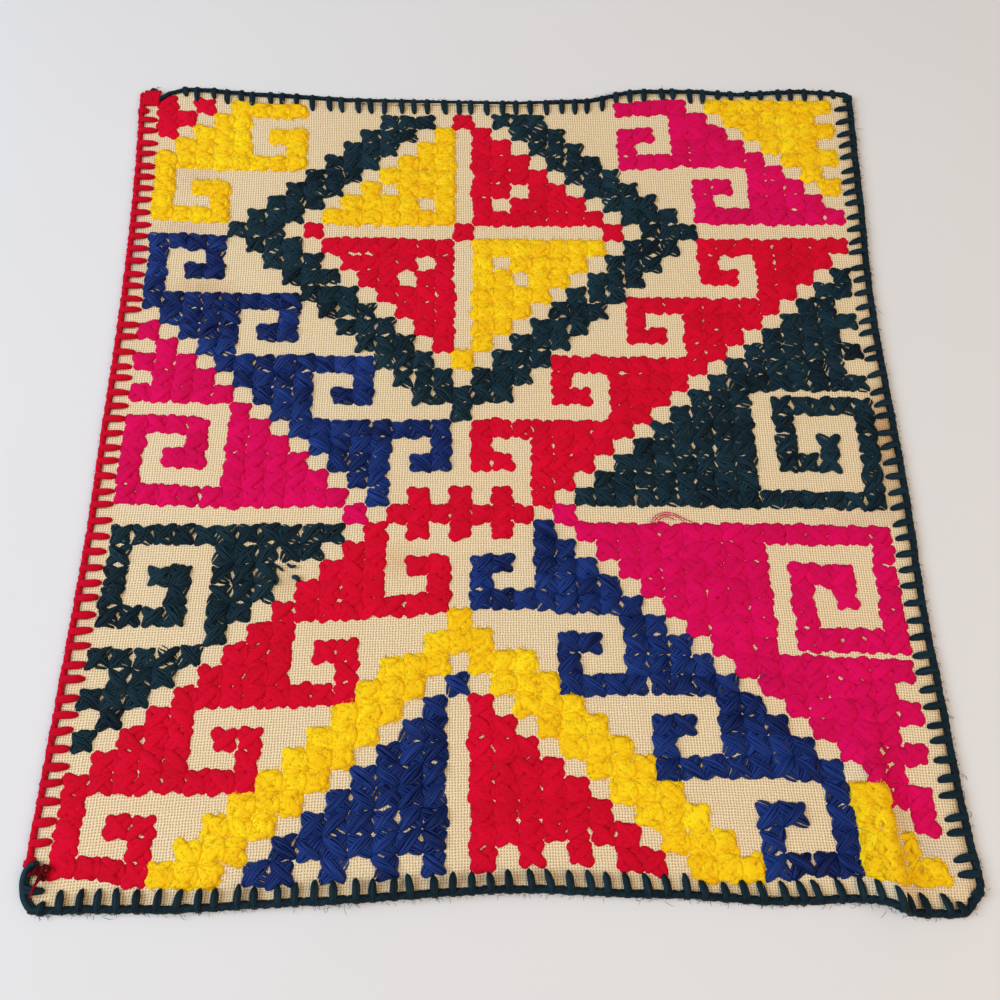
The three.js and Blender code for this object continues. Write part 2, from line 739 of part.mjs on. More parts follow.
// Walks of the two yarns: red down the left edge and past both corners, green round the other three
const greenWalk = [...EDGES.bottom, ...EDGES.right.slice(1), ...EDGES.top.slice(1)];
const redWalk = EDGES.left.map((place) => place.clone());
greenWalk[0] = along(greenWalk[0], greenWalk[1], GREEN_START);
greenWalk[greenWalk.length - 1] = along(greenWalk.at(-1), greenWalk.at(-2), GREEN_START);
const beyond = new THREE.Vector3(0, CORD_RADIUS, 0);
redWalk[0].add(beyond);
redWalk[redWalk.length - 1].sub(beyond);

const greenLegs = ['bottom', 'right', 'top'].flatMap((name) =>
  edgeLegs(name, GREEN_LEG_LENGTH));
const redLegs = edgeLegs('left', RED_LEG_LENGTH);

// Assembly
const panel = new THREE.Group();
panel.name = 'cross_stitched_panel';

function addPiece(name, geometry, colour, roughness) {
  const material = new THREE.MeshStandardMaterial({ color: COLOURS[colour], roughness, metalness: 0 });
  const mesh = new THREE.Mesh(geometry, material);
  mesh.name = name;
  panel.add(mesh);
}

const CLOTH_ROUGHNESS = 0.9;
const YARN_ROUGHNESS = 0.85;
addPiece('ground_cloth', clothGeometry(), 'cream', CLOTH_ROUGHNESS);
addPiece('edging_red', edgingGeometry(redWalk, redLegs), 'red', YARN_ROUGHNESS);
addPiece('edging_green', edgingGeometry(greenWalk, greenLegs), 'green', YARN_ROUGHNESS);
for (const field of FIELDS) addPiece(field.name, fieldGeometry(field), field.yarn, YARN_ROUGHNESS);

export default panel;
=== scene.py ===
import math
from types import SimpleNamespace

import bpy
import numpy as np
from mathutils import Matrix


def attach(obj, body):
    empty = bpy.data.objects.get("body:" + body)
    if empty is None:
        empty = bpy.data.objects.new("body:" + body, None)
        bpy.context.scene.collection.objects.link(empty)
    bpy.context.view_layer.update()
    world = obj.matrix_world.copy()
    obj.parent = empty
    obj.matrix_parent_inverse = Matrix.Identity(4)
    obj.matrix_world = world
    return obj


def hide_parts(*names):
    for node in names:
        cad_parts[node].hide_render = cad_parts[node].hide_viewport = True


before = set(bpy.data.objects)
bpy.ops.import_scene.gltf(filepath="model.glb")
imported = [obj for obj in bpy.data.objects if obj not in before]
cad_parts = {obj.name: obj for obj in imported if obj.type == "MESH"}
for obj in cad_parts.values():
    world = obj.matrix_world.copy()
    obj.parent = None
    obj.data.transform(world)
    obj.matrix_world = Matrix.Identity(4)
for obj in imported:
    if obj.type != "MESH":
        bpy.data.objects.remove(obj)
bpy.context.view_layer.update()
MM = 0.001
luck = np.random.default_rng(2111)

# Stitch grid: column 0 and row 0 are the heart of the lozenge, rows count downwards
FIRST_COLUMN, LAST_COLUMN = -16, 20
FIRST_ROW, LAST_ROW = -9, 35
MID_COLUMN = (FIRST_COLUMN + LAST_COLUMN) / 2
MID_ROW = (FIRST_ROW + LAST_ROW) / 2
HALF_COLUMNS = (LAST_COLUMN - FIRST_COLUMN + 1) / 2
HALF_ROWS = (LAST_ROW - FIRST_ROW + 1) / 2
COLUMN_PITCH, ROW_PITCH = 7.87, 7.09

# How the stitched ground lies on the table, in millimetres
CENTRE_X, CENTRE_Y = 0.25, 4.685
HALF_WIDTH, HALF_LENGTH = 145.7, 158.2
WAIST, COLUMN_REACH, COLUMN_SWAY, COLUMN_FLARE, COLUMN_DRIFT = 5.2, 1.1, 2.0, 1.9, 1.2
ROW_REACH, ROW_GROWTH, ROW_TILT, ROW_SKEW = 3.2, 2.6, 0.6, 2.1
ROW_TWIST, ROW_SAG, ROW_FAN = 2.3, 0.5, 4.7

# Heights of the cloth, and the least height of the wool over the table
CLOTH_LOW, CLOTH_TOP = 0.5, 1.15
TABLE_GAP = 0.02

# Ridge at the bottom right, lifted hem, and the part of a row in which a stitch takes up that lift
RIDGE_COLUMN, RIDGE_HEIGHT, RIDGE_LEFT, RIDGE_RIGHT = 18.1, 6.6, 2.3, 0.9
RIDGE_FROM, RIDGE_TO = 25.5, 34.5
GATHER_WIDTH, GATHER_FROM, GATHER_TO = 4.2, 16.5, 18.6
HEM_LIFT = [(-17, 0.3), (-9, 1.3), (1, 2.2), (7, 1.2), (10, 0.3), (21, 0.3)]
HEM_SHARE = 0.35

# Width beyond the outermost stitches up to the outer side of the edging, by row or column
EDGING_WIDTH = 2.5
CORNER_ROUND = 0.4
LEFT_MARGIN = [(-9, 9.1), (12, 9.2), (20, 8.2), (35, 8.2)]
RIGHT_MARGIN = [(-9, 10.0), (-3, 9.4), (4, 8.2), (16, 10.2), (25, 8.6), (35, 11.4)]
TOP_MARGIN = [
    (-17, 2.0), (-14.5, 5.4), (-11, 4.0), (-5, 2.4), (3, 2.0), (6.5, 3.0), (10, 8.2), (12.5, 7.8), (15.5, 5.4),
    (18.5, 6.0), (21, 4.0),
]
BOTTOM_MARGIN = [
    (-17, 3.6), (-10, 6.8), (-5, 7.0), (2, 5.7), (8, 7.8), (13, 9.8), (16.7, 8.4), (19.3, 12.2), (21, 11.8),
]

# Places where the hand count wanders: column, row, reach in stitches, stitches upwards
DRIFTS = [
    (1.5, 22.8, 2.6, 0.39), (-7, 28, 3.5, -0.32), (11, 35, 2.2, -0.37), (4, 35, 2.2, 0.42),
    (12.5, 31, 2.2, 0.24), (-16, 15, 2.4, 0.42), (13, -2, 3, 0.36), (-12.5, -5, 3, -0.36),
    (-16.5, 37, 2.6, 1.1), (-13.5, 23.5, 3, -0.22), (19.5, -6.5, 2.5, 0.2), (4, 8.5, 2.6, 0.2),
    (14, 1, 2.4, -0.22), (-13, 30.5, 2.8, 0.14), (2.5, -8, 2.2, 0.25), (12, -9, 1.8, 0.25),
    (-9.5, -10, 2, -0.28), (19.5, -10, 1.5, -0.3), (20, 36, 1.6, -0.3), (20, 28, 1.5, -0.2),
]
# The same for columns: stitches to the right
SIDE_DRIFTS = [
    (19, 13.5, 3, 0.25), (-16, 21, 2.4, 0.19), (15.5, 33.5, 1.2, 0.14), (-7.5, 35.5, 2.2, -0.22),
    (4, -7.5, 2.4, 0.18),
]


def ease(value, low, high):
    share = np.clip((value - low) / (high - low), 0, 1)
    return share * share * (3 - 2 * share)


def between(table, at):
    keys, values = np.array(table, float).T
    k = np.clip(np.searchsorted(keys, at) - 1, 0, len(keys) - 2)
    return values[k] + (values[k + 1] - values[k]) * ease(at, keys[k], keys[k + 1])


def ridge(column, row):
    across = column - RIDGE_COLUMN
    share = np.clip(np.where(across < 0, -across / RIDGE_LEFT, across / RIDGE_RIGHT), 0, 1)
    return RIDGE_HEIGHT * 0.5 * (1 + np.cos(np.pi * share)) * ease(row, RIDGE_FROM, RIDGE_TO)


def lay(column, row):
    """Place of a point of the stitch grid, at the level the cloth lies on."""
    u = (column - MID_COLUMN) / HALF_COLUMNS
    v = (row - MID_ROW) / HALF_ROWS
    spread = HALF_WIDTH + COLUMN_FLARE * v + WAIST * v * v + COLUMN_REACH * u * u
    x = CENTRE_X + spread * u + COLUMN_SWAY * v ** 3 - COLUMN_DRIFT * u * u
    x = x - GATHER_WIDTH * ease(column, GATHER_FROM, GATHER_TO) * ease(row, RIDGE_FROM, RIDGE_TO)
    length = HALF_LENGTH + ROW_REACH * v * v + ROW_FAN * u * u
    drop = length * v + ROW_GROWTH * v * v + ROW_SAG * u * u
    y = CENTRE_Y - drop + (ROW_SKEW * v + ROW_TWIST * v * v - ROW_TILT) * u
    return np.stack([x, y, ridge(column, row)], -1)


def inside(column, row):
    """The nearest place of the stitched ground."""
    inner_c = np.clip(column, FIRST_COLUMN - 0.5, LAST_COLUMN + 0.5)
    return inner_c, np.clip(row, FIRST_ROW - 0.5, LAST_ROW + 0.5)


def sheet(column, row):
    """Place of a point of the cloth; one step beyond the stitches is the cut edge."""
    inner_c, inner_r = inside(column, row)
    place = lay(inner_c, inner_r)
    rounded = 1 - CORNER_ROUND * (np.abs(column - inner_c) * np.abs(row - inner_r)) ** 2
    below = np.maximum(row - inner_r, 0) * rounded
    for axis, way, out, margin, at in (
            (0, -1, inner_c - column, LEFT_MARGIN, inner_r), (0, 1, column - inner_c, RIGHT_MARGIN, inner_r),
            (1, 1, inner_r - row, TOP_MARGIN, inner_c), (1, -1, row - inner_r, BOTTOM_MARGIN, inner_c)):
        place[..., axis] += way * (np.maximum(out, 0) * rounded) * (between(margin, at) - EDGING_WIDTH)
    place[..., 2] += below * between(HEM_LIFT, inner_c)
    return place


def drift(table, column, row):
    total = 0
    for at_c, at_r, reach, amount in table:
        away = ((column - at_c) ** 2 + (row - at_r) ** 2) / (2 * reach * reach)
        total = total + amount * np.exp(-away)
    return total


def wander(column, row):
    """Place of a stitch, with the drifts of the hand count."""
    up = drift(DRIFTS, column, row)
    place = lay(column + drift(SIDE_DRIFTS, column, row), row - up)
    below = np.clip((row - up - LAST_ROW - 0.5) / HEM_SHARE, 0, 1)
    place[..., 2] += below * between(HEM_LIFT, column)
    return place


def slope_at(lay_cell, column, row):
    """Rise of the ground for a millimetre to the right and for a millimetre towards the top edge."""
    step = 0.05
    right = lay_cell(column + step, row) - lay_cell(column - step, row)
    up = lay_cell(column, row - step) - lay_cell(column, row + step)
    return np.stack([right[..., 2] / right[..., 0], up[..., 2] / up[..., 1]], -1)


# Motifs, counted in stitches: stairs, hooks, key blocks, lozenge, chevron, triangles and bottom corner
STAIR_SUM, HOOK_STEP, HOOKS, HOOK_BODY, HOOK_REACH = 22, 4, 4, 16, 3
KEY_AXIS, KEY_TIP = 18, 5
QUARTER_REACH, FRAME_FROM, FRAME_TO, FRAME_TOP, FRAME_FOOT = 8, 10, 12, -8, 10
RED_TIPS, YELLOW_TIP, FRAME_TIP = {(0, 0), (0, -8), (8, 0), (-8, 0)}, (0, 8), (0, 11)
CHEVRON_TIP, TRIANGLE_TIP, CORNER_ROW, CORNER_STAIR = 24, 27, 32, 15
LEFT_SPIRAL = ["XXXX", "X..X", "XX.X", "...X"]
RIGHT_SPIRAL = ["XXXXX", "X...X", "X.X.X", "XXX.X", "....X"]
QUARTER_HOLES = {(-4, -3), (-2, -2), (3, -3), (2, -2), (-2, 2), (-3, 3), (2, 2), (3, 3)}
# Rows of the lozenge's lower half and the rows whose length they take; stretched arms of the right-hand keys
LOZENGE_ROWS, LOZENGE_LENGTH = 11, 12
ARM_COLUMN, ARM_FROM, ARM_TO, ARM_STRETCH = 15, 1.5, 7, 1.13
# Outermost columns, axis of the lower hooks, and rows and innermost column of a run of hooks
LEFT, RIGHT, LOWER_RIGHT, LOWER_AXIS = 16, 20, 16, 36
TOP_RUN, SIDE_RUN = (9, 9), (17, 1)


def lay_lozenge(column, row):
    return wander(column, np.where(row > 0, row * LOZENGE_LENGTH / LOZENGE_ROWS, row))


def lay_right_key(column, row):
    reach = np.abs(row - KEY_AXIS)
    arm = (column > ARM_COLUMN) & (reach > ARM_FROM) & (reach < ARM_TO)
    stretched = KEY_AXIS + np.sign(row - KEY_AXIS) * (ARM_FROM + (reach - ARM_FROM) * ARM_STRETCH)
    return wander(column, np.where(arm, stretched, row))


def hook_run(side, axis, way, border, rows, innermost):
    def rule(column, row):
        out, down = side * column, way * (row - axis)
        if down < 1 or down > rows or out > min(border, STAIR_SUM - 1 - down):
            return False
        hook = min((down - 1) // HOOK_STEP, HOOKS - 1)
        phase = down - 1 - HOOK_STEP * hook
        body = max(HOOK_BODY - HOOK_STEP * hook, innermost)
        end = max(body - HOOK_REACH, innermost)
        if out >= body:
            return True
        if phase == 0:
            return out >= end
        return (phase == 1 and out == end) or (phase == 2 and out in (end, end + 1))
    return rule


def key_block(side, way, border, spiral, meets=False, worn=None):
    body_end = border - len(spiral[0]) - 1
    gap_row = len(spiral[0]) + 2

    def rule(column, row):
        out, down = side * column, way * (row - KEY_AXIS)
        if down == 0:
            return meets and out == KEY_TIP
        if down < 0 or out < down + KEY_TIP or out > border or (column, row) == worn:
            return False
        if down == 1 or out == down + KEY_TIP:
            return True
        if down <= gap_row:
            chart = spiral[gap_row - 1 - down] if down < gap_row else ""
            k = out - body_end - 2
            return out <= body_end or (0 <= k < len(chart) and chart[k] == "X")
        return out != border or (down - gap_row) % 2 == 1
    return rule


def top_corner(side, border, notch):
    return lambda c, r: STAIR_SUM + r < side * c <= border and not notch(side * c, -r)


def bottom_corner(column, row):
    return row >= CORNER_ROW and LOWER_RIGHT < column <= max(LOWER_RIGHT + 2, row - CORNER_STAIR)


def quarter(column, row):
    within = column * row != 0 and abs(column) + abs(row) <= QUARTER_REACH
    return within and (column, row) not in QUARTER_HOLES


def lozenge_ring(column, row):
    ring = FRAME_FROM <= abs(column) + abs(row) <= FRAME_TO and FRAME_TOP <= row <= FRAME_FOOT
    return ring or (column, row) == FRAME_TIP


def triangle(side):
    def rule(column, row):
        out, down = side * column, row - TRIANGLE_TIP
        return 1 <= out <= down and (row < LAST_ROW or out % 2 == 1 or out == down)
    return rule


def chevron(column, row):
    down, out = row - CHEVRON_TIP, abs(column)
    return down >= 0 and out <= down + 1 and (out >= down - 1 if down > 1 else out <= down)


def comb(column, row):
    if row == KEY_AXIS:
        return abs(column) <= 3
    return abs(row - KEY_AXIS) == 1 and column in (-2, 0, 2)


RULES = {
    "red_corner": ("red", top_corner(-1, LEFT, lambda out, up: (out, up) == (15, 9))),
    "yellow_hooks": ("yellow", hook_run(-1, 0, -1, LEFT, *TOP_RUN)),
    "magenta_hooks": ("magenta", hook_run(1, 0, -1, RIGHT, *TOP_RUN)),
    "yellow_corner_top": ("yellow", top_corner(1, RIGHT, lambda out, up: out == RIGHT and up % 2 == 0)),
    "lozenge_frame": ("green", lozenge_ring),
    "lozenge_red": ("red", lambda c, r: (c, r) in RED_TIPS or (c * r < 0 and quarter(c, r))),
    "lozenge_yellow_upper": ("yellow", lambda c, r: c < 0 and r < 0 and quarter(c, r)),
    "lozenge_yellow_lower": (
        "yellow", lambda c, r: (c, r) == YELLOW_TIP or (c > 0 and r > 0 and quarter(c, r))),
    "blue_hooks_upper": ("blue", hook_run(-1, 0, 1, LEFT, *SIDE_RUN)),
    "red_hooks_upper": ("red", hook_run(1, 0, 1, RIGHT, *SIDE_RUN)),
    "magenta_key_left": ("magenta", key_block(-1, -1, LEFT, LEFT_SPIRAL, meets=True)),
    "green_key_left": ("green", key_block(-1, 1, LEFT, LEFT_SPIRAL, worn=(-8, 21))),
    "green_key_right": ("green", key_block(1, -1, RIGHT, RIGHT_SPIRAL)),
    "magenta_key_right": ("magenta", key_block(1, 1, RIGHT, RIGHT_SPIRAL, meets=True)),
    "red_comb": ("red", comb),
    "red_hooks_lower": ("red", hook_run(-1, LOWER_AXIS, -1, LEFT, *SIDE_RUN)),
    "blue_hooks_lower": ("blue", hook_run(1, LOWER_AXIS, -1, LOWER_RIGHT, *SIDE_RUN)),
    "yellow_corner_bottom": ("yellow", bottom_corner),
    "yellow_chevron": ("yellow", chevron),
    "blue_triangle": ("blue", lambda c, r: (c, r) == (0, TRIANGLE_TIP) or triangle(-1)(c, r)),
    "red_triangle": ("red", triangle(1)),
}
CELLS = [(c, r) for r in range(FIRST_ROW, LAST_ROW + 1) for c in range(FIRST_COLUMN, LAST_COLUMN + 1)]
LAID = {name: lay_lozenge for name in RULES if name.startswith("lozenge")}
LAID |= {name: lay_right_key for name in RULES if name.endswith("key_right")}
FIELDS = {
    name: (yarn, [cell for cell in CELLS if rule(*cell)], LAID.get(name, wander))
    for name, (yarn, rule) in RULES.items()
}


# Shader building: weave of the cotton, broken edge of its stains, and grain, flecks and patches of the wool
MIX_INPUTS, MIX_RESULT, MIDDLE = (0, 6, 7), 2, 0.5
WOBBLE_SCALE, WOBBLE_REACH, OVER_LIFT, ROUNDNESS = 0.35, 0.9, 0.5, 0.6
HOLE_ACROSS, HOLE_DOWN, SLUB_STRETCH = 0.8, 0.5, 0.06
RAGGED_SCALE, RAGGED_REACH = 2.2, 0.9
GRAIN_STRETCH, FLECK_SCALE, PATCH_SCALE = (0.5, 3.2, 1.0), 1400.0, 45.0
GRAIN_SHARE, PATCH_SHARE, DARK_SHARE = 0.5, 0.5, 0.2


def fill(made, inputs):
    """Set or link inputs of a node."""
    for label, value in inputs.items():
        socket = made.inputs[label]
        if isinstance(value, bpy.types.NodeSocket):
            made.id_data.links.new(value, socket)
        else:
            socket.default_value = (*value, 1) if socket.type == "RGBA" else value


def node(kind, inputs, tree=None, **settings):
    """Node of the tree that is given or that feeds it."""
    fed = [value.id_data for value in inputs.values() if isinstance(value, bpy.types.NodeSocket)]
    made = (tree or fed[0]).nodes.new(f"ShaderNode{kind}")
    for label, value in settings.items():
        setattr(made, label, value)
    fill(made, inputs)
    return made


def calc(operation, *values, clamp=False):
    return node("Math", dict(enumerate(values)), operation=operation, use_clamp=clamp).outputs[0]


def vector(operation, *values):
    made = node("VectorMath", dict(enumerate(values)), operation=operation)
    return made.outputs["Value" if operation == "LENGTH" else "Vector"]


def mix(*values):
    return node("Mix", dict(zip(MIX_INPUTS, values)), data_type="RGBA").outputs[MIX_RESULT]


def noise(place, scale, detail=2.0, rough=0.5):
    inputs = {"Vector": place, "Scale": scale, "Detail": detail, "Roughness": rough}
    return node("TexNoise", inputs).outputs["Fac"]


def stretch(place, scale):
    return node("Mapping", {"Vector": place, "Scale": scale}).outputs[0]


def relief(shader, height, strength, distance):
    inputs = {"Height": height, "Strength": strength, "Distance": distance}
    fill(shader, {"Normal": node("Bump", inputs).outputs[0]})


def group(name, vectors, numbers, results):
    """Node group with vectors and numbers going in and numbers coming out."""
    tree = bpy.data.node_groups.new(name, "ShaderNodeTree")
    for labels, way, kind in (
            (vectors, "INPUT", "Vector"), (numbers, "INPUT", "Float"), (results, "OUTPUT", "Float")):
        for label in labels:
            tree.interface.new_socket(label, in_out=way, socket_type=f"NodeSocket{kind}")
    return tree, tree.nodes.new("NodeGroupInput").outputs, tree.nodes.new("NodeGroupOutput")


def rgb(red, green, blue):
    """Linear colour of a screen colour given from 0 to 255, by the sRGB rule."""
    screen = np.array([red, green, blue]) / 255
    linear = np.where(screen <= 0.04045, screen / 12.92, ((screen + 0.055) / 1.055) ** 2.4)
    return tuple(float(c) for c in linear)


def plain_weave():
    """Plain weave in thread counts: height of the threads, holes between them for painted shade, and uneven
    spinning.
    """
    tree, given, made = group("plain_weave", ["Threads"], [], ["Height", "HoleShade", "Slub"])
    threads = given["Threads"]
    shift = calc("MULTIPLY", calc("SUBTRACT", noise(threads, WOBBLE_SCALE), MIDDLE), WOBBLE_REACH)
    split = node("SeparateXYZ", {0: vector("ADD", threads, shift)})
    turns, rounds, gaps = [], [], []
    for axis, opening in enumerate((HOLE_ACROSS, HOLE_DOWN)):
        turns.append(calc("SINE", calc("MULTIPLY", split.outputs[axis], math.pi)))
        swell = calc("ABSOLUTE", turns[axis])
        rounds.append(calc("POWER", swell, ROUNDNESS))
        gaps.append(calc("POWER", calc("SUBTRACT", 1.0, swell), opening))
    lift = calc("MULTIPLY", calc("MULTIPLY", *turns), OVER_LIFT)
    height = calc("MAXIMUM", calc("ADD", rounds[0], lift), calc("SUBTRACT", rounds[1], lift))
    ways = (SLUB_STRETCH, 1.0, 1.0), (1.0, SLUB_STRETCH, 1.0)
    slubs = calc("ADD", *(noise(stretch(threads, way), 1.0) for way in ways))
    fill(made, {"Height": height, "HoleShade": calc("MULTIPLY", *gaps), "Slub": calc("MULTIPLY", slubs, 0.5)})
    return tree


def soft_spot():
    """Soft-edged spot round a place on the cloth, broken up a little."""
    tree, given, made = group("soft_spot", ["Place", "Middle", "Reach"], [], ["Mask"])
    off = vector("SUBTRACT", given["Place"], given["Middle"])
    length = vector("LENGTH", vector("DIVIDE", off, given["Reach"]))
    ragged = calc("MULTIPLY", noise(given["Place"], RAGGED_SCALE, 3), RAGGED_REACH)
    edge = calc("ADD", length, calc("SUBTRACT", ragged, RAGGED_REACH / 2))
    fill(made, {"Mask": calc("SUBTRACT", 1.0, edge, clamp=True)})
    return tree


def wool_tone():
    """Uneven dye of a yarn as a colour share, height of its grain, and shares of fuzz with painted backlight
    and of shadow.
    """
    tree, given, made = group(
        "wool_tone", ["Along", "Place"], ["Tone", "Fleck", "Uneven"], ["Shade", "Grain", "FuzzBacklight", "Dark"])
    tone = given["Tone"]
    grain = noise(stretch(given["Along"], GRAIN_STRETCH), 1.0, 3, 0.6)
    fleck = noise(given["Place"], FLECK_SCALE, 3, 0.65)
    patch = noise(given["Place"], PATCH_SCALE)
    shade = calc("MULTIPLY", tone, given["Uneven"])
    for value, share in ((grain, GRAIN_SHARE), (fleck, given["Fleck"]), (patch, PATCH_SHARE)):
        shade = calc("ADD", shade, calc("MULTIPLY", calc("SUBTRACT", value, MIDDLE), share))
    fill(made, {
        "Shade": calc("ADD", shade, MIDDLE, clamp=True),
        "Grain": calc("ADD", grain, calc("MULTIPLY", fleck, given["Fleck"])),
        "FuzzBacklight": calc("SUBTRACT", tone, 1.0, clamp=True),
        "Dark": calc("SUBTRACT", -1.0, tone, clamp=True),
    })
    return tree


WEAVE, SPOT, TONE = plain_weave(), soft_spot(), wool_tone()


def new_material(name):
    material = bpy.data.materials.new(name)
    material.use_nodes = True
    return material, material.node_tree, material.node_tree.nodes["Principled BSDF"]


# Cotton: threads a stitch, size of its pale and deep parts, colours, painted shade in the holes, and strength
# of slubs and of that hole shade
THREADS, BROAD_SCALE = 8, 0.18
COTTON_DEEP, COTTON_PALE = rgb(252, 222, 174), rgb(255, 234, 196)
COTTON_SLUB, COTTON_HOLE_SHADE, SLUB_SHARE, HOLE_SHADE_SHARE = rgb(226, 194, 148), rgb(120, 76, 40), 0.45, 0.95
# Stains on the cloth: column, row, reach across, reach down, colour, strength
STAINS = [
    (21.0, 12.8, 1.1, 3.4, (206, 140, 84), 0.8),
    (20.7, 16.0, 1.2, 2.6, (190, 140, 90), 0.5),
    (-13.5, 4.2, 2.2, 1.1, (196, 150, 105), 0.5),
    (-14.5, 0.0, 2.6, 0.8, (225, 178, 160), 0.5),
    (-14.3, -3.5, 1.6, 1.5, (226, 180, 160), 0.4),
    (-3.0, 20.6, 2.2, 1.2, (222, 160, 90), 0.45),
    (19.0, 18.2, 2.5, 0.8, (230, 160, 150), 0.35),
    (-8.0, 21.6, 0.9, 1.2, (190, 150, 90), 0.4),
    (20.0, 34.5, 1.6, 1.4, (190, 190, 200), 0.35),
    (-17.1, 1.8, 0.5, 2.6, (176, 188, 200), 0.6),
]


def cotton(name):
    material, tree, shader = new_material(name)
    place = node("UVMap", {}, tree, uv_map="stitches").outputs[0]
    weave = node("Group", {"Threads": stretch(place, (THREADS, THREADS, 1))}, node_tree=WEAVE)
    colour = mix(noise(place, BROAD_SCALE, 3), COTTON_DEEP, COTTON_PALE)
    for column, row, wide, tall, tint, strength in STAINS:
        inputs = {"Place": place, "Middle": (column, -row, 0), "Reach": (wide, tall, 1)}
        spot = node("Group", inputs, node_tree=SPOT)
        colour = mix(calc("MULTIPLY", spot.outputs["Mask"], strength), colour, rgb(*tint))
    colour = mix(calc("MULTIPLY", weave.outputs["Slub"], SLUB_SHARE), colour, COTTON_SLUB)
    # Painted shade: the holes between the threads are darkened in the colour.
    colour = mix(calc("MULTIPLY", weave.outputs["HoleShade"], HOLE_SHADE_SHARE, clamp=True), colour, COTTON_HOLE_SHADE)
    fill(shader, {"Base Color": colour, "Roughness": 0.9, "Specular IOR Level": 0.2})
    relief(shader, weave.outputs["Height"], strength=0.8, distance=0.0003)
    return material


def wool(name, deep, bright, fuzz_backlight, fleck, uneven, roughness, sheen, grain):
    material, tree, shader = new_material(name)
    deep, bright, fuzz_backlight = rgb(*deep), rgb(*bright), rgb(*fuzz_backlight)
    dye = node("Group", {
        "Along": node("UVMap", {}, tree, uv_map="strand").outputs[0],
        "Place": node("TexCoord", {}, tree).outputs["Object"],
        "Tone": node("Attribute", {}, tree, attribute_name="tone").outputs["Fac"],
        "Fleck": fleck, "Uneven": uneven,
    }, node_tree=TONE)
    colour = mix(dye.outputs["Shade"], deep, bright)
    # Painted backlight: tones above one turn the wool pale, as light through thin fibres would.
    colour = mix(dye.outputs["FuzzBacklight"], colour, fuzz_backlight)
    colour = mix(dye.outputs["Dark"], colour, tuple(DARK_SHARE * share for share in deep))
    fill(shader, {
        "Base Color": colour, "Roughness": roughness, "Specular IOR Level": 0.15, "Sheen Weight": sheen,
        "Sheen Roughness": 0.5, "Sheen Tint": bright,
    })
    relief(shader, dye.outputs["Grain"], strength=grain, distance=0.0004)
    return material


# Wools: deep and bright colours and the pale colour of fuzz with painted backlight, then fleck, unevenness,
# roughness, sheen and grain
DYES = {
    "red": ((188, 0, 28), (232, 0, 48), (240, 60, 90), 0.9, 0.2, 0.95, 0.05, 0.8),
    "magenta": ((192, 0, 64), (236, 0, 96), (244, 70, 140), 0.9, 0.2, 0.95, 0.05, 0.8),
    "yellow": ((236, 160, 0), (255, 226, 24), (255, 234, 96), 1.2, 0.2, 0.95, 0.08, 0.4),
    "blue": ((0, 10, 56), (26, 56, 128), (70, 96, 160), 0.1, 0.4, 0.5, 0.0, 0.4),
    "green": ((0, 16, 26), (24, 54, 66), (92, 116, 134), 0.3, 0.36, 0.65, 0.0, 0.5),
}
WOOLS = {yarn: wool(f"{yarn}_wool", *dye) for yarn, dye in DYES.items()}


# Mesh building
STRAND_SHIFT, FIBRE_SIDES, TINY = 90, 3, 1e-9


def piece_from(name, points, quads, tris, material, strand, tone):
    """Object from arrays of points in millimetres and of four- and three-cornered faces."""
    mesh = bpy.data.meshes.new(name)
    mesh.vertices.add(len(points))
    mesh.vertices.foreach_set("co", (points * MM).astype(np.float32).ravel())
    corners = np.concatenate([quads.ravel(), tris.ravel()])
    starts = np.concatenate([4 * np.arange(len(quads)), quads.size + 3 * np.arange(len(tris))])
    mesh.loops.add(len(corners))
    mesh.loops.foreach_set("vertex_index", corners.astype(np.int32))
    mesh.polygons.add(len(starts))
    mesh.polygons.foreach_set("loop_start", starts.astype(np.int32))
    mesh.polygons.foreach_set("use_smooth", np.ones(len(starts), bool))
    mesh.update(calc_edges=True)
    layer = mesh.uv_layers.new(name="strand")
    layer.data.foreach_set("uv", strand[corners].astype(np.float32).ravel())
    shade = mesh.attributes.new("tone", "FLOAT", "POINT")
    shade.data.foreach_set("value", tone.astype(np.float32))
    mesh.materials.append(material)
    thing = bpy.data.objects.new(name, mesh)
    bpy.context.collection.objects.link(thing)
    return thing


def unit(vectors):
    return vectors / np.maximum(np.linalg.norm(vectors, axis=-1, keepdims=True), TINY)


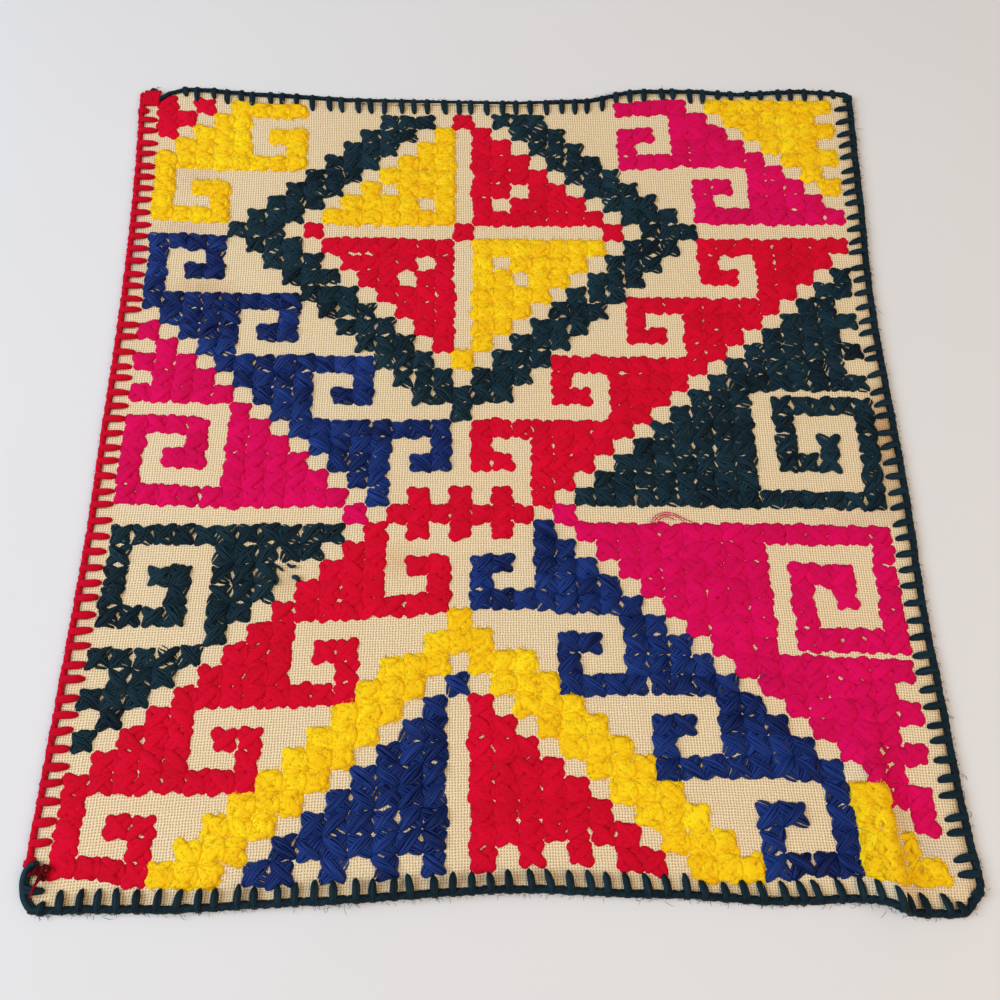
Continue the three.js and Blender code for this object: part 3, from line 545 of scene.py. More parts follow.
class Skein:
    """Closed strands and fibres gathered into one mesh."""

    def __init__(self):
        self.points, self.quads, self.tris, self.strand, self.tone = [], [], [], [], []
        self.count = 0

    def keep(self, points, strand, tone):
        self.points.append(points)
        self.strand.append(strand)
        self.tone.append(tone)
        self.count += len(points)

    def add(self, paths, radii, sides, tone, side=None, tall=None, lumps=0.0, under=None):
        """Strands along paths (strands, steps, 3) with radii (strands, steps), round or with a height of
        their own, reaching down no further than under."""
        number, steps, _ = paths.shape
        ahead = unit(np.gradient(paths, axis=1))
        if side is None:
            side = unit(np.cross([0, 0, 1], ahead * [1, 1, 0]))
        else:
            side = np.broadcast_to(side[:, None, :], paths.shape)
        normal = unit(np.cross(ahead, side))
        side = np.cross(normal, ahead)
        turn = 2 * np.pi * np.arange(sides)[:, None] / sides
        high = radii if tall is None else tall
        low = high if under is None else np.minimum(high, under)
        height = np.where(np.sin(turn) > 0, high[:, :, None, None], low[:, :, None, None])
        lump = luck.normal(1, lumps, (number, steps, sides, 1))
        points = (paths[:, :, None] + side[:, :, None] * np.cos(turn) * radii[:, :, None, None] * lump
                  + normal[:, :, None] * np.sin(turn) * height * lump)
        reach = np.linalg.norm(np.diff(paths, axis=1), axis=-1)
        shift = luck.uniform(0, STRAND_SHIFT, (number, 1))
        along = np.concatenate([np.zeros((number, 1)), np.cumsum(reach, 1)], 1) + shift
        strand = np.stack(np.broadcast_arrays(along[:, :, None], np.arange(sides) * 1.0), -1)
        index = np.arange(number * steps * sides).reshape(number, steps, sides) + self.count
        self.wrap(index)
        for k in range(1, sides - 1):
            self.tris.append(index[:, 0][:, [0, k + 1, k]])
            self.tris.append(index[:, -1][:, [0, k, k + 1]])
        self.keep(points.reshape(-1, 3), strand.reshape(-1, 2), np.repeat(tone, steps * sides))

    def wrap(self, index):
        """Faces round tubes given by the numbers of their points (tubes, steps, sides)."""
        near, far = index[:, :-1], index[:, 1:]
        quads = np.stack([near, np.roll(near, -1, 2), np.roll(far, -1, 2), far], -1)
        self.quads.append(quads.reshape(-1, 4))

    def add_fibres(self, paths, thick, tone):
        """Fine fibres along paths (fibres, steps, 3), three-sided and pointed at both ends."""
        number, steps, _ = paths.shape
        rings, sides = steps - 2, FIBRE_SIDES
        each = rings * sides + 2
        ahead = unit(paths[:, 2:] - paths[:, :-2])
        side = unit(np.cross(ahead, luck.normal(size=(number, 1, 3))))
        normal = np.cross(ahead, side)
        turn = 2 * np.pi * np.arange(sides)[:, None] / sides
        ring = side[:, :, None] * np.cos(turn) + normal[:, :, None] * np.sin(turn)
        belt = (paths[:, 1:-1, None] + ring * thick / 2).reshape(number, rings * sides, 3)
        points = np.concatenate([paths[:, :1], belt, paths[:, -1:]], 1)
        index = np.arange(number * each).reshape(number, each) + self.count
        root, belt, tip = index[:, :1], index[:, 1:-1].reshape(number, rings, sides), index[:, -1:]
        self.wrap(belt)
        for k in range(sides):
            self.tris.append(np.concatenate([root, belt[:, 0, [(k + 1) % sides, k]]], 1))
            self.tris.append(np.concatenate([belt[:, -1, [k, (k + 1) % sides]], tip], 1))
        self.keep(points.reshape(-1, 3), np.zeros((number * each, 2)), np.repeat(tone, each))

    def piece(self, name, material):
        points, quads, tris, strand, tone = map(
            np.concatenate, (self.points, self.quads, self.tris, self.strand, self.tone))
        points[:, 2] = np.maximum(points[:, 2], TABLE_GAP)
        return piece_from(name, points, quads, tris, material, strand, tone)


# How each yarn lies. Legs: half width, half height of a strand (radius), its width to that (flat), rise of the
# middle strands (crown) and at the crossing (bow), how far (end) and how late (fill) a leg narrows; waves and
# depth along a strand, lumps, uneven height of legs. Loose fibres a stitch: thickness (hair), tones (pale).
# swapped: stitches crossed the other way. felted, squared, pad: slits and outer sides filled with matted wool
MATTED = dict(
    strands=2, fill=2.4, twist=0.4, waves=1.6, depth=0.14, lumps=0.05, steps=7, sides=7, fibres=20, hair=0.14,
    pale=(-0.2, 1.7), reach=(0.5, 1.5), stand=1.0, swapped=0.40, felted=0.45, pad=0.2)
ROPED = dict(
    flat=1.0, twist=1.0, sides=4, hair=0.13, pale=(0, 1.7), reach=(0.5, 1.5), stand=1.0, squared=0.10)
YARNS = {
    "red": MATTED | dict(
        wide=2.68, radius=0.62, flat=2.7, crown=0.16, bow=0.34, end=0.32, uneven=0.10, squared=0.40),
    "magenta": MATTED | dict(
        wide=2.72, radius=0.68, flat=2.5, crown=0.18, bow=0.40, end=0.30, uneven=0.12, squared=0.55),
    "yellow": MATTED | dict(
        wide=2.96, radius=0.66, flat=2.8, crown=0.14, bow=0.22, end=0.34, uneven=0.07, squared=0.95, fill=2.6,
        depth=0.12, fibres=90, hair=0.24, pale=(-1.1, 1.9), reach=(0.9, 2.4), stand=0.25, felted=0.85, pad=0.4),
    "blue": ROPED | dict(
        strands=6, wide=2.76, radius=0.58, crown=0.90, bow=0.90, end=0.28, fill=2.8, waves=0.9, depth=0.18,
        lumps=0.0, uneven=0.24, steps=8, fibres=4, swapped=0.50, felted=0.30, pad=0.15),
    "green": ROPED | dict(
        strands=5, wide=2.56, radius=0.60, crown=0.70, bow=0.75, end=0.24, fill=2.6, waves=1.5, depth=0.34,
        lumps=0.04, uneven=0.22, steps=7, fibres=12, swapped=0.40, felted=0.28, pad=0.2),
}
# A stitch: its holes, widths of its legs, outermost strand, spacing of the steps, bend of the ends, differences
HOLE_REACH, HOLE_SCATTER, LOWER_WIDE, UPPER_WIDE = 0.497, 0.045, 1.14, 0.88
OUTER_STRAND, EVEN_STEPS, END_BEND, SIZES, PACES = 0.97, 0.4, 4, (0.88, 1.1), (0.7, 1.3)
# Heights of a leg, dip of the lower one, length of the crossing, and cloth left below a strand
LEG_RISE, END_DROP, LEAST_RISE, LOWER_DIP, CROSSING, SKIN = 0.45, 0.3, -0.35, -0.1, 0.45, 0.15


def stitch_legs(skein, cells, lay_cell, yarn):
    """Both legs of every cross stitch, the upper one bowed over the lower."""
    style = SimpleNamespace(**YARNS[yarn])
    number, strands, steps = len(cells), style.strands, style.steps
    column, row = np.array(cells, float).T
    flip = np.where(luck.random(number) < style.swapped, -1.0, 1.0)
    stitch_tone = luck.uniform(-0.6, 0.6, number)
    even = np.linspace(0, 1, steps)
    t = (1 - EVEN_STEPS) * (0.5 - 0.5 * np.cos(np.pi * even)) + EVEN_STEPS * even
    mid = 2 * t - 1
    leaf = style.end + (1 - style.end) * (1 - np.abs(mid) ** style.fill)
    plateau = 1 - np.abs(mid) ** END_BEND
    spots = np.linspace(-OUTER_STRAND, OUTER_STRAND, strands)
    for upper in (False, True):
        way = -flip if upper else flip
        ends = luck.normal(0, HOLE_SCATTER, (2, 2, number))
        c0, r0 = column - HOLE_REACH + ends[0, 0], row - way * HOLE_REACH + ends[0, 1]
        c1, r1 = column + HOLE_REACH + ends[1, 0], row + way * HOLE_REACH + ends[1, 1]
        leg_c, leg_r = (a[:, None] + (b - a)[:, None] * t for a, b in ((c0, c1), (r0, r1)))
        line = lay_cell(leg_c, leg_r)
        slope = slope_at(lay_cell, leg_c, leg_r)
        sideways = np.cross([0, 0, 1], unit((line[:, -1] - line[:, 0]) * [1, 1, 0]))
        turning = luck.normal(style.twist, 0.4, (number, 1, 1)) * (t - 0.5)
        angle = np.arcsin(spots)[None, :, None] + turning + luck.normal(0, 0.1, (number, strands, 1))
        width = style.wide * luck.uniform(*SIZES, (number, 1, 1)) * leaf
        width = width * (UPPER_WIDE if upper else LOWER_WIDE)
        phase = luck.random((2, number, strands, 1))
        pace = style.waves * luck.uniform(*PACES, (number, strands, 1)) * t
        wave, heave = np.sin(2 * np.pi * (pace + phase)) * style.depth
        curve = luck.normal(0, 0.3, (number, 1, 1)) * (1 - mid ** 2)
        tall = style.radius * luck.uniform(*SIZES, (number, strands, 1)) * (0.5 + 0.5 * plateau)
        wide = tall * style.flat
        room = width - style.radius * style.flat * leaf
        lateral = np.sin(angle) * room + wave * plateau + curve
        crossing = np.exp(-(mid / CROSSING) ** 2) * (style.bow if upper else LOWER_DIP)
        lift = LEG_RISE + luck.normal(0, style.uneven, (number, 1, 1))
        rise = plateau * (lift + style.crown * np.cos(angle) + 0.7 * heave) + crossing - END_DROP
        rise = np.maximum(rise, LEAST_RISE)
        tilt = (slope * sideways[:, None, :2]).sum(-1)
        paths = line[:, None] + sideways[:, None, None, :] * lateral[..., None]
        paths[..., 2] += CLOTH_TOP + rise + tilt[:, None] * lateral
        leaning = sideways.copy()
        leaning[:, 2] += tilt.mean(1)
        under = (rise + CLOTH_TOP - CLOTH_LOW - SKIN).reshape(-1, steps)
        tone = np.clip(stitch_tone[:, None] + luck.normal(0, 0.4, (number, strands)), -1, 1)
        skein.add(paths.reshape(-1, steps, 3), wide.reshape(-1, steps), style.sides, tone.ravel(),
                  np.repeat(leaning, strands, 0), tall.reshape(-1, steps), style.lumps, under)
        loose_fibres(skein, style, paths, wide, tall, line, slope, sideways)


def loose_fibres(skein, style, paths, wide, tall, line, slope, sideways):
    """Loose fibres of the strands of one leg of every stitch, kept over the cloth."""
    number, strands, steps = tall.shape
    total = number * style.fibres // 2
    leg, strand = luck.integers(0, number, total), luck.integers(0, strands, total)
    step = luck.integers(1, steps - 1, total)
    pick = leg, strand, step
    turn, depth, clear = luck.uniform(-1.5, 1.5, (total, 1)), 0.9, 0.05
    beside, above = sideways[leg] * np.sin(turn), np.array([0, 0, 1.0]) * np.cos(turn)
    root = paths[pick] + beside * wide[pick][:, None] * depth + above * tall[pick][:, None] * depth
    away = unit(beside + above * 0.5 + luck.normal(0, 0.6, (total, 3)))
    away = unit(away * [1, 1, style.stand])
    bend = unit(away + luck.normal(0, 0.7, (total, 3)) * [1, 1, 0.4 * style.stand])
    length = luck.uniform(*style.reach, (total, 1))
    hair = np.stack([root, root + away * length * 0.5, root + (away + bend) * length * 0.5], 1)
    steep, foot = slope[leg, step][:, None], line[leg, step][:, None]
    hair[..., 2] += ((hair - root[:, None])[..., :2] * steep).sum(-1)
    ground = foot[..., 2] + ((hair - foot)[..., :2] * steep).sum(-1)
    hair[..., 2] = np.maximum(hair[..., 2], ground + CLOTH_TOP + clear)
    # Fibre tones above one get the pale painted backlight.
    skein.add_fibres(hair, style.hair, luck.uniform(*style.pale, total))


def felt_pads(skein, cells, lay_cell, yarn):
    """Low pads of matted wool in the slits between neighbouring stitches and along the outer sides of some."""
    worked, style = set(cells), SimpleNamespace(**YARNS[yarn])
    outer, slit, sides, lumps = 0.34, 0.5, 5, 0.05
    t, taper = np.array([[-1.0, -0.4, 0.4, 1.0], [0.35, 1.0, 1.0, 0.35]])
    for right, down in ((1, 0), (0, 1), (-1, 0), (0, -1)):
        spots = []
        for c, r in cells:
            if (c + right, r + down) not in worked:
                spots.append((c, r, outer, style.squared))
            elif right + down > 0:
                spots.append((c, r, slit, style.felted))
        column, row, out, share = np.array(spots)[:, :, None].transpose(1, 0, 2)
        kept = luck.random(len(spots)) < share[:, 0]
        column, row = (column + right * out)[kept], (row + down * out)[kept]
        reach = luck.uniform(0.30, 0.40, column.shape) * t
        line = lay_cell(column + down * reach, row + right * reach)
        line[..., 2] += CLOTH_TOP + style.pad
        radii = luck.uniform(1.2, 1.6, column.shape) * taper
        across = np.array([abs(right), abs(down)])
        tilt = slope_at(lay_cell, column, row)[:, 0] @ across
        side = np.column_stack([np.tile(across, (len(tilt), 1)), tilt])
        tone, tall = luck.uniform(-0.7, 0.3, len(tilt)), 0.45 * radii
        skein.add(line, radii, sides, tone, side, tall, lumps)


def back_bars(skein, cells, lay_cell):
    """Short upright bars that the stitches leave on the wrong side of the cloth."""
    number, sides = len(cells), 3
    column, row = np.array(cells, float).T
    t, height, taper = np.array([[-0.5, 0.0, 0.5], [0.6, 0.4, 0.6], [0.7, 1.0, 0.7]])
    for place in (-0.4, 0.4):
        lean = luck.normal(0, 0.08, (number, 1))
        line = lay_cell(column[:, None] + place + lean * t, row[:, None] + t)
        line[..., 2] += height
        radii = luck.uniform(0.9, 1.3, (number, 1)) * taper
        tilt = slope_at(lay_cell, column + place, row)[:, 0]
        side = np.column_stack([np.ones(number), np.zeros(number), tilt])
        skein.add(line, radii, sides, luck.uniform(-1, 1, number), side, tall=0.3 * radii)


def add_thread(skein, points, radius, tone=0.0):
    """One loose thread through a few places given in millimetres."""
    marks = np.array(points, float)
    last, steps, sides = len(marks) - 1, 6, 6
    fine = np.linspace(0, last, steps * last + 1)
    k = np.clip(fine.astype(int), 0, last - 1)
    share = (fine - k)[:, None]
    slope = np.gradient(marks, axis=0)
    path = (marks[k] * (1 + 2 * share) * (1 - share) ** 2 + slope[k] * share * (1 - share) ** 2
            + marks[k + 1] * share ** 2 * (3 - 2 * share) + slope[k + 1] * share ** 2 * (share - 1))
    swell = np.minimum(1, np.minimum(fine, last - fine) * 3)
    size = radius * (0.55 + 0.45 * swell)
    skein.add(path[None], size[None], sides, np.array([tone]))


# Loose threads and frayed ends, by the piece they belong to: places in millimetres, radius, tone
LOOSE_THREADS = {
    "magenta_key_right": [
        ([(56.2, -35.0, 2.6), (58.1, -31.9, 2.2), (61.4, -30.1, 1.9), (65.2, -30.4, 2.0), (69.2, -32.5, 1.9),
          (73.0, -34.2, 2.0)], 0.17, 0.6),
        ([(56.9, -34.8, 2.8), (59.5, -32.0, 2.4), (63.1, -31.1, 2.2), (66.6, -31.8, 2.0), (69.4, -34.2, 2.2)],
         0.17, 0.9),
        ([(58.4, -35.2, 2.6), (59.9, -33.0, 2.8), (62.9, -32.0, 2.6), (65.8, -33.2, 2.2)], 0.2, 0.2),
        ([(57.6, -34.0, 2.3), (60.6, -31.2, 2.1), (64.2, -30.8, 1.9)], 0.14, 1.0),
    ],
    "green_key_left": [
        ([(-84.8, -50.9, 2.6), (-82.8, -52.0, 2.2), (-81.1, -53.4, 1.7)], 0.5, 0.2),
        ([(-79.8, -50.8, 2.6), (-78.2, -51.8, 2.2), (-76.4, -51.6, 2.6)], 0.6, 0.0),
        ([(-77.6, -55.6, 1.6), (-76.0, -56.0, 2.4), (-75.0, -57.2, 1.6)], 0.9, 0.3),
        ([(-84.0, -55.2, 1.8), (-82.8, -57.0, 2.0), (-83.4, -59.0, 2.2)], 0.45, 0.5),
    ],
    "red_hooks_upper": [([(47.9, 11.4, 3.6), (49.1, 9.0, 4.0), (48.5, 6.4, 3.7)], 0.12, 1.0)],
    "blue_hooks_lower": [([(92.3, -93.6, 3.4), (93.8, -92.0, 2.4), (96.2, -92.2, 1.8)], 0.16, 0.6)],
}

pieces = {}
for name, (yarn, cells, lay_cell) in FIELDS.items():
    skein = Skein()
    stitch_legs(skein, cells, lay_cell, yarn)
    felt_pads(skein, cells, lay_cell, yarn)
    back_bars(skein, cells, lay_cell)
    for points, radius, tone in LOOSE_THREADS.get(name, []):
        add_thread(skein, points, radius, tone)
    pieces[name] = skein.piece(f"stitches_{name}", WOOLS[yarn])


# Ground cloth: closer faces at the crest of the ridge, and a faint ripple
ACROSS, DOWN = 92, 112
bpy.ops.object.select_all(action="DESELECT")
bpy.ops.mesh.primitive_grid_add(x_subdivisions=ACROSS, y_subdivisions=DOWN, size=1)
cloth = bpy.context.object
cloth.name = "cotton_cloth"
flat = np.empty(len(cloth.data.vertices) * 3, np.float32)
cloth.data.vertices.foreach_get("co", flat)
flat = flat.reshape(-1, 3)
cloth_c = MID_COLUMN + flat[:, 0] * (2 * HALF_COLUMNS + 2)
from_crest = cloth_c - RIDGE_COLUMN
cloth_c = cloth_c - 0.7 * from_crest * np.exp(-(from_crest / 1.2) ** 2)
cloth_r = MID_ROW - flat[:, 1] * (2 * HALF_ROWS + 2)
ground = sheet(cloth_c, cloth_r)
x, y = ground[:, 0], ground[:, 1]
ripple = np.sin(x / 9.1 + 2 * np.sin(y / 23)) * np.sin(y / 7.7 + 1.3)
ground[:, 2] += CLOTH_TOP + 0.12 * ripple
cloth.data.vertices.foreach_set("co", (ground * MM).astype(np.float32).ravel())
for layer in list(cloth.data.uv_layers):
    cloth.data.uv_layers.remove(layer)
layer = cloth.data.uv_layers.new(name="stitches")
corner = np.empty(len(cloth.data.loops), np.int32)
cloth.data.loops.foreach_get("vertex_index", corner)
inner_c, inner_r = inside(cloth_c, cloth_r)
inner = lay(inner_c, inner_r)
thread_c = inner_c + (x - inner[:, 0]) / COLUMN_PITCH
thread_r = inner_r - (y - inner[:, 1]) / ROW_PITCH
layer.data.foreach_set("uv", np.stack([thread_c, -thread_r], 1)[corner].astype(np.float32).ravel())
cloth.data.polygons.foreach_set("use_smooth", np.ones(len(cloth.data.polygons), bool))
cloth.data.materials.append(cotton("cream_cotton"))
thick = cloth.modifiers.new("thickness", "SOLIDIFY")
thick.thickness = (CLOTH_TOP - CLOTH_LOW) * MM
thick.offset = -1
bpy.ops.object.modifier_apply(modifier=thick.name)
pieces["ground_cloth"] = cloth


# Blanket stitch: corners of the cloth on the stitch grid, points along an edge, their later step, and strands
LOW_C, HIGH_C = FIRST_COLUMN - 1.5, LAST_COLUMN + 1.5
LOW_R, HIGH_R = FIRST_ROW - 1.5, LAST_ROW + 1.5
CORNERS = [(LOW_C, HIGH_R), (HIGH_C, HIGH_R), (HIGH_C, LOW_R), (LOW_C, LOW_R)]
FINE, WALK_STEP, EDGING_SIDES, EDGING_LUMPS = 600, 0.5, 6, 0.06


def evenly(walk, step):
    """The same walk with points an even step apart."""
    reach = np.concatenate([[0], np.cumsum(np.linalg.norm(np.diff(walk, axis=0), axis=1))])
    marks = np.linspace(0, reach[-1], max(int(round(reach[-1] / step)), 2) + 1)
    return np.stack([np.interp(marks, reach, walk[:, k]) for k in range(3)], 1)


def edge_walk(start, stop):
    """One cut edge from corner to corner, walked with the cloth on the left hand."""
    t = np.linspace(0, 1, FINE)
    return sheet(*(a + (b - a) * t for a, b in zip(start, stop)))


def left_hand(walk):
    ahead = unit(np.gradient(walk, axis=0) * [1, 1, 0])
    return np.stack([-ahead[:, 1], ahead[:, 0], np.zeros(len(walk))], 1)


STITCHES = np.concatenate([
    lay_cell(*np.array(cells, float).T)[:, :2] for yarn, cells, lay_cell in FIELDS.values()])


def free_reach(root, inward, longest):
    """Way from the cut edge to the first stitch, for every leg."""
    wide, tall, step, room, shortest = 3.7, 3.2, 0.25, 0.2, 2.2
    reach = np.full(len(root), longest)
    for distance in np.arange(longest, room, -step):
        probe = root[:, :2] + inward[:, :2] * distance
        away = np.abs(probe[:, None] - STITCHES[None])
        hit = ((away[..., 0] < wide) & (away[..., 1] < tall)).any(1)
        reach = np.where(hit, distance - room, reach)
    return np.maximum(reach, shortest)


def add_cord(skein, walk, radius, orbit, pitch):
    """Three-ply cord that lies along the outside of a walk."""
    step, out, rise, plies, nap = 1.3, 1.2, 1.35, 3, 1.1
    line = evenly(walk, step)
    outward = -left_hand(line)
    reach = np.arange(len(line)) * step
    for ply in range(plies):
        turn = 2 * np.pi * (reach / pitch + ply / plies) + 0.6 * np.sin(reach / 17)
        path = line + outward * (out + orbit * np.cos(turn))[:, None]
        path[:, 2] += rise + orbit * np.sin(turn) * 0.9
        size = radius * (1 + 0.12 * np.sin(reach / 3.1 + ply * 2) + luck.normal(0, 0.05, len(reach)))
        skein.add(path[None], size[None], EDGING_SIDES, luck.uniform(-1.0, -0.2, 1), lumps=EDGING_LUMPS)
        add_nap(skein, path, len(path), nap)


def add_legs(skein, walk, inward, legs, longest, radius, tilts):
    """Legs of the blanket stitch from over the cord to their holes, with the lean of the first and the last."""
    share = np.array([0, 0.12, 0.3, 0.5, 0.72, 0.9, 1.0])
    height = np.array([0.5, 2.35, 2.75, 2.45, 2.15, 1.7, 0.8])
    width = np.array([0.9, 0.92, 1.0, 1.06, 1.0, 0.7, 0.26])
    start, free, room, shortest, apart, naps, nap = -2.3, 3.5 / WALK_STEP, 1.8, 1.0, 0.62, 10, 0.9
    line = evenly(walk, WALK_STEP)
    last = len(line) - 1
    marks = np.linspace(free, last - free, legs)
    marks = np.clip(marks + luck.normal(0, 1.0, legs), 2, last - 2)
    root = line[marks.astype(int)]
    inward = np.broadcast_to(np.array(inward, float), root.shape)
    tangent = np.cross(inward, [0, 0, 1])
    from_corner = np.minimum(marks, last - marks) * WALK_STEP
    reach = np.minimum(free_reach(root, inward, longest), np.maximum(from_corner - room, shortest))
    reach = reach * luck.uniform(0.88, 1.0, legs)
    lean = luck.normal(np.linspace(*tilts, legs), 0.35)
    out = start + share * (reach[:, None] - start)
    for strand in (-1, 0, 1):
        sway = lean[:, None] * share ** 2 + strand * apart * width + luck.normal(0, 0.06, (legs, len(share)))
        path = root[:, None] + inward[:, None] * out[..., None] + tangent[:, None] * sway[..., None]
        path[..., 2] += height - 0.25 * abs(strand)
        radii = radius * width * luck.uniform(0.9, 1.1, (legs, 1))
        skein.add(path, radii, EDGING_SIDES, luck.uniform(-1.0, 0.2, legs), tangent, lumps=EDGING_LUMPS)
    add_nap(skein, path.reshape(-1, 3), naps * legs, nap)


def add_nap(skein, spine, number, reach):
    """Short fibres that stand off a thick strand."""
    root = spine[luck.integers(0, len(spine), number)] + luck.normal(0, 0.35, (number, 3))
    away = unit(luck.normal(size=(number, 3)) + [0, 0, 0.8])
    bend = unit(away + luck.normal(0, 0.8, (number, 3)))
    length = luck.uniform(0.5, 1.0, (number, 1)) * reach
    hair = np.stack([root, root + away * length * 0.6, root + (away + bend) * length * 0.6], 1)
    # Tones above one give the nap a pale painted backlight.
    lowest, thick, tones = 0.2, 0.15, (0.2, 1.6)
    hair[..., 2] = np.maximum(hair[..., 2], lowest)
    skein.add_fibres(hair, thick, luck.uniform(*tones, number))


def add_wisps(skein, walk, number, longest):
    """Loose curled fibres that stand off the edge."""
    # Tones above one give the wisps a pale painted backlight.
    steps, shortest, lowest, thick, tones = 4, 0.6, 0.15, 0.17, (0.4, 2.0)
    line = evenly(walk, WALK_STEP)
    whole = luck.integers(2, len(line) - 2, number)
    outward = -left_hand(line)[whole]
    root = line[whole] + outward * luck.uniform(1.0, 2.2, (number, 1))
    root[:, 2] += luck.uniform(0.4, 2.6, number)
    ahead = np.cross([0, 0, 1], outward)
    length = longest * luck.random((number, 1)) ** 1.6 + shortest
    t = np.linspace(0, 1, steps)[None, :]
    heading = luck.normal(0, 1.0, (number, 1)) + luck.normal(0, 2.6, (number, 1)) * t
    out = np.cumsum(np.cos(heading), 1) / steps * length
    along = np.cumsum(np.sin(heading), 1) / steps * length
    path = root[:, None] + outward[:, None] * out[..., None] + ahead[:, None] * along[..., None]
    path[..., 2] = np.maximum(path[..., 2] - t * luck.uniform(0, 2, (number, 1)), lowest)
    skein.add_fibres(path, thick, luck.uniform(*tones, number))


def trimmed(walk, start, stop):
    """The walk without a stretch at either end."""
    line = evenly(walk, WALK_STEP)
    return line[int(start / WALK_STEP):len(line) - int(stop / WALK_STEP)]


walks = {name: edge_walk(start, stop) for name, start, stop in zip(
    ("bottom", "right", "top", "left"), CORNERS, CORNERS[1:] + CORNERS[:1])}
# Where cords and legs start or stop short of a corner, and how far the legs go on
RED_CORD_START, RED_LEGS_START, RED_STOP, GREEN_STOP, LEGS_ON = 2.0, 8.0, 15.0, 14.0, 3
# Green yarn at the corners: end of the top cord, band at the bottom left and its strands, end at the top left
TOP_CORD_END = np.array([(-147.8, 167.0, 1.2), (-151.8, 163.8, 1.0)])
CORNER_BAND = np.array([
    (-152.0, -170.4, 1.2), (-156.4, -170.2, 1.4), (-159.0, -167.2, 1.6), (-160.0, -164.1, 1.7),
    (-160.4, -161.0, 1.7), (-159.8, -158.0, 1.8), (-158.4, -156.3, 2.2), (-156.8, -156.2, 2.4),
])
BAND_STRANDS = [(0.0, 0.0, 0.0), (1.5, 0.3 * 1.5, 0.1), (0.75, 0.3 * 0.75, 0.8)]
TOP_END = [(-157.4, 168.6, 1.6), (-155.8, 170.0, 2.8), (-153.4, 169.6, 1.8)]
# Red yarn at the corners: bars at the top left; dark knot at the bottom left and its two tails
CORNER_BARS, BAR_AT, BAR_STEP, BAR_TONES = 6, -159.2, 1.15, (-0.5, 0.5)
KNOT_LOOPS, KNOT_AT, KNOT_SPREAD, KNOT_ARMS = 14, np.array([-154.4, -157.8, 2.8]), [1.3, 1.2, 0.3], (0.6, 1.2)
LONG_TAIL = [
    (-154.0, -159.0, 3.2), (-154.6, -160.6, 3.4), (-155.1, -162.3, 3.6), (-155.7, -164.5, 3.8),
    (-156.6, -166.6, 3.0),
]
SHORT_TAIL = [(-153.6, -159.2, 3.0), (-154.4, -161.6, 3.3), (-155.4, -163.6, 3.5), (-155.5, -165.6, 3.0)]

green = Skein()
top_cord = np.concatenate([trimmed(walks["top"], 0, GREEN_STOP), TOP_CORD_END])
top_legs = trimmed(walks["top"], 0, GREEN_STOP - LEGS_ON)
add_cord(green, np.concatenate([walks["bottom"], walks["right"][1:]]), radius=0.86, orbit=0.56, pitch=9.0)
add_cord(green, top_cord, radius=0.62, orbit=0.36, pitch=7.0)
add_legs(green, walks["bottom"], (0, 1, 0), legs=49, longest=5.6, radius=0.72, tilts=(0.2, -1.8))
add_legs(green, walks["right"], (-1, 0, 0), legs=54, longest=6.3, radius=0.72, tilts=(-0.9, -1.1))
add_legs(green, top_legs, (0, -1, 0), legs=46, longest=6.3, radius=0.64, tilts=(-0.4, -0.4))
GREEN_WISPS = [("bottom", 1100, 2.6), ("right", 1050, 2.4), ("top", 400, 1.6)]
LONG_WISPS = [(name, 60, 5.5) for name in ("bottom", "right", "top")]
for name, number, longest in GREEN_WISPS + LONG_WISPS:
    add_wisps(green, walks[name], number, longest)
for beside in BAND_STRANDS:
    add_thread(green, CORNER_BAND + beside, radius=0.92, tone=0.2)
for shift in (-0.7, 0.5):
    bar = [(-159.6, -163.4 + shift, 2.4), (-156.9, -164.1 + shift, 2.9), (-154.6, -164.4 + 0.5 * shift, 2.6),
           (-152.6, -164.3, 1.4)]
    add_thread(green, bar, radius=0.95, tone=-0.2)
add_thread(green, TOP_END, radius=0.7)
pieces["edging_green"] = green.piece("blanket_stitch_green", WOOLS["green"])

red = Skein()
left_cord = trimmed(walks["left"], RED_CORD_START, RED_STOP)
left_legs = trimmed(walks["left"], RED_LEGS_START, RED_STOP - LEGS_ON)
add_cord(red, left_cord, radius=0.76, orbit=0.5, pitch=9.0)
add_legs(red, left_legs, (1, 0, 0), legs=53, longest=7.3, radius=0.8, tilts=(-0.6, -0.6))
add_wisps(red, left_cord, number=500, longest=1.5)
for k in range(CORNER_BARS):
    across = BAR_AT + BAR_STEP * k
    bar = [(across, 162.0, 1.4), (across + 0.2, 164.0, 2.5), (across + 0.5, 167.8, 2.7),
           (across + 0.6, 170.0, 1.4)]
    add_thread(red, bar, radius=0.9, tone=luck.uniform(*BAR_TONES))
for k in range(KNOT_LOOPS):
    spot = KNOT_AT + luck.normal(0, KNOT_SPREAD)
    arm = unit(luck.normal(size=3) * [1, 1, 0.3]) * luck.uniform(*KNOT_ARMS)
    add_thread(red, [spot - arm, spot + [0, 0, 0.5], spot + arm - [0, 0, 0.4]], radius=0.75, tone=-2.0)
add_thread(red, LONG_TAIL, radius=0.42, tone=-1.6)
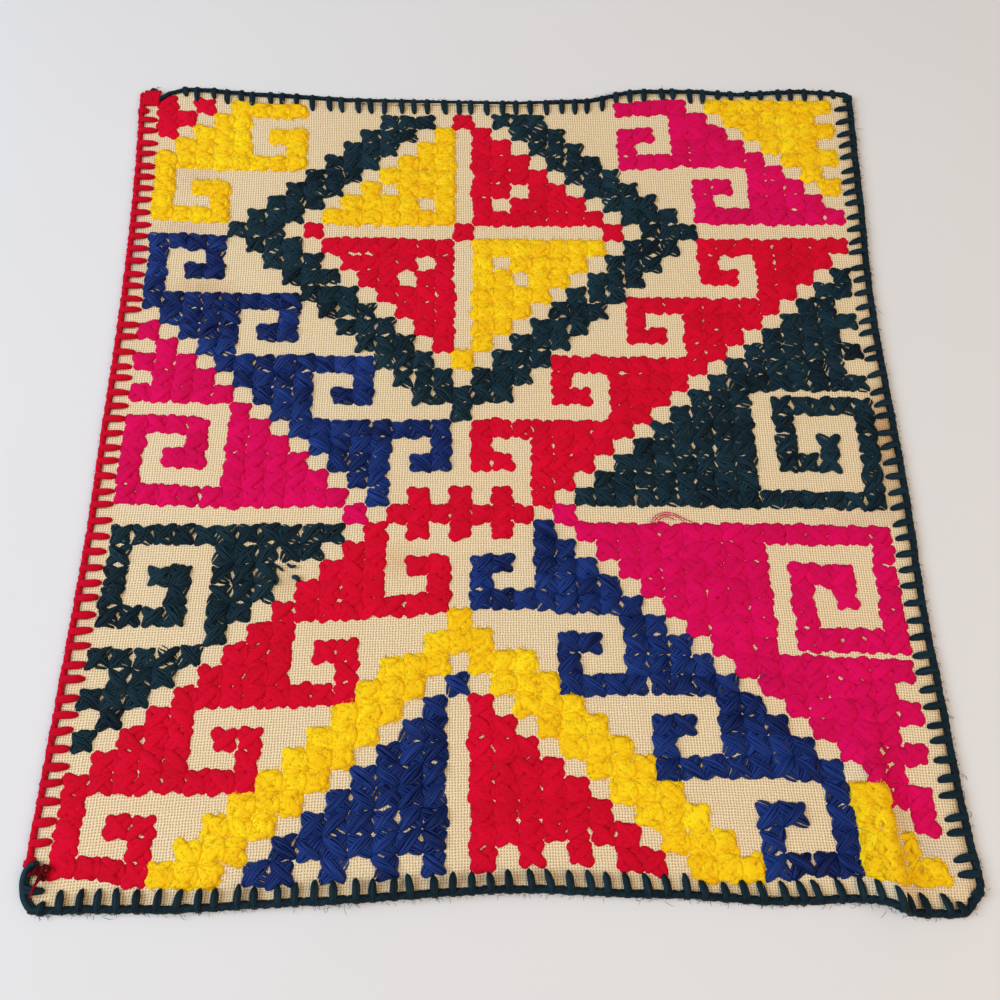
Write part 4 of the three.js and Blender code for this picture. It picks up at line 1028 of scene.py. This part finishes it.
add_thread(red, SHORT_TAIL, radius=0.3, tone=-1.5)
pieces["edging_red"] = red.piece("blanket_stitch_red", WOOLS["red"])

for name, piece in pieces.items():
    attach(piece, "root")
    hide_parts(name)

# Pale table
bpy.ops.object.select_all(action="DESELECT")
bpy.ops.mesh.primitive_plane_add(size=4)
table = bpy.context.object
table.name = "pale_table"
material, tree, shader = new_material("pale_table_top")
mottle = noise(node("TexCoord", {}, tree).outputs["Object"], 6.0, 3)
fill(shader, {"Base Color": mix(mottle, rgb(218, 213, 211), rgb(223, 218, 216)), "Roughness": 0.85})
table.data.materials.append(material)

# Soft daylight from the left, a little warm from the right
world = bpy.data.worlds.new("soft_room")
bpy.context.scene.world = world
world.use_nodes = True
fill(world.node_tree.nodes["Background"], {"Color": (1.0, 0.93, 0.845), "Strength": 0.345})


def soft_light(name, place, size, power, colour):
    """Square lamp turned towards the middle of the panel."""
    light = bpy.data.lights.new(name, "AREA")
    light.shape, light.size, light.energy, light.color = "SQUARE", size, power, colour
    lamp = bpy.data.objects.new(name, light)
    bpy.context.collection.objects.link(lamp)
    right, back, up = place
    lamp.location = place
    lamp.rotation_euler = (math.atan2(math.hypot(right, back), up), 0, math.atan2(-back, -right) - math.pi / 2)


soft_light("window", (-1.1, -0.1, 0.9), size=0.9, power=20, colour=(0.64, 0.81, 1.0))
soft_light("room_fill", (0.8, -0.5, 1.1), size=1.2, power=11, colour=(1.0, 0.84, 0.64))

# Camera at the photograph's angle: place in millimetres and turn in degrees
CAMERA_PLACE, CAMERA_TURN = (-1.95, -158.26, 362.8), (20.25, -0.23, 0.03)
eye = bpy.data.cameras.new("photo_view")
eye.lens = 36.28
eye.sensor_width = 36
viewer = bpy.data.objects.new("photo_view", eye)
bpy.context.collection.objects.link(viewer)
viewer.location = [distance * MM for distance in CAMERA_PLACE]
viewer.rotation_euler = [math.radians(angle) for angle in CAMERA_TURN]
eye.clip_start = 0.01
bpy.context.scene.camera = viewer
bpy.context.scene.view_settings.view_transform = "Standard"
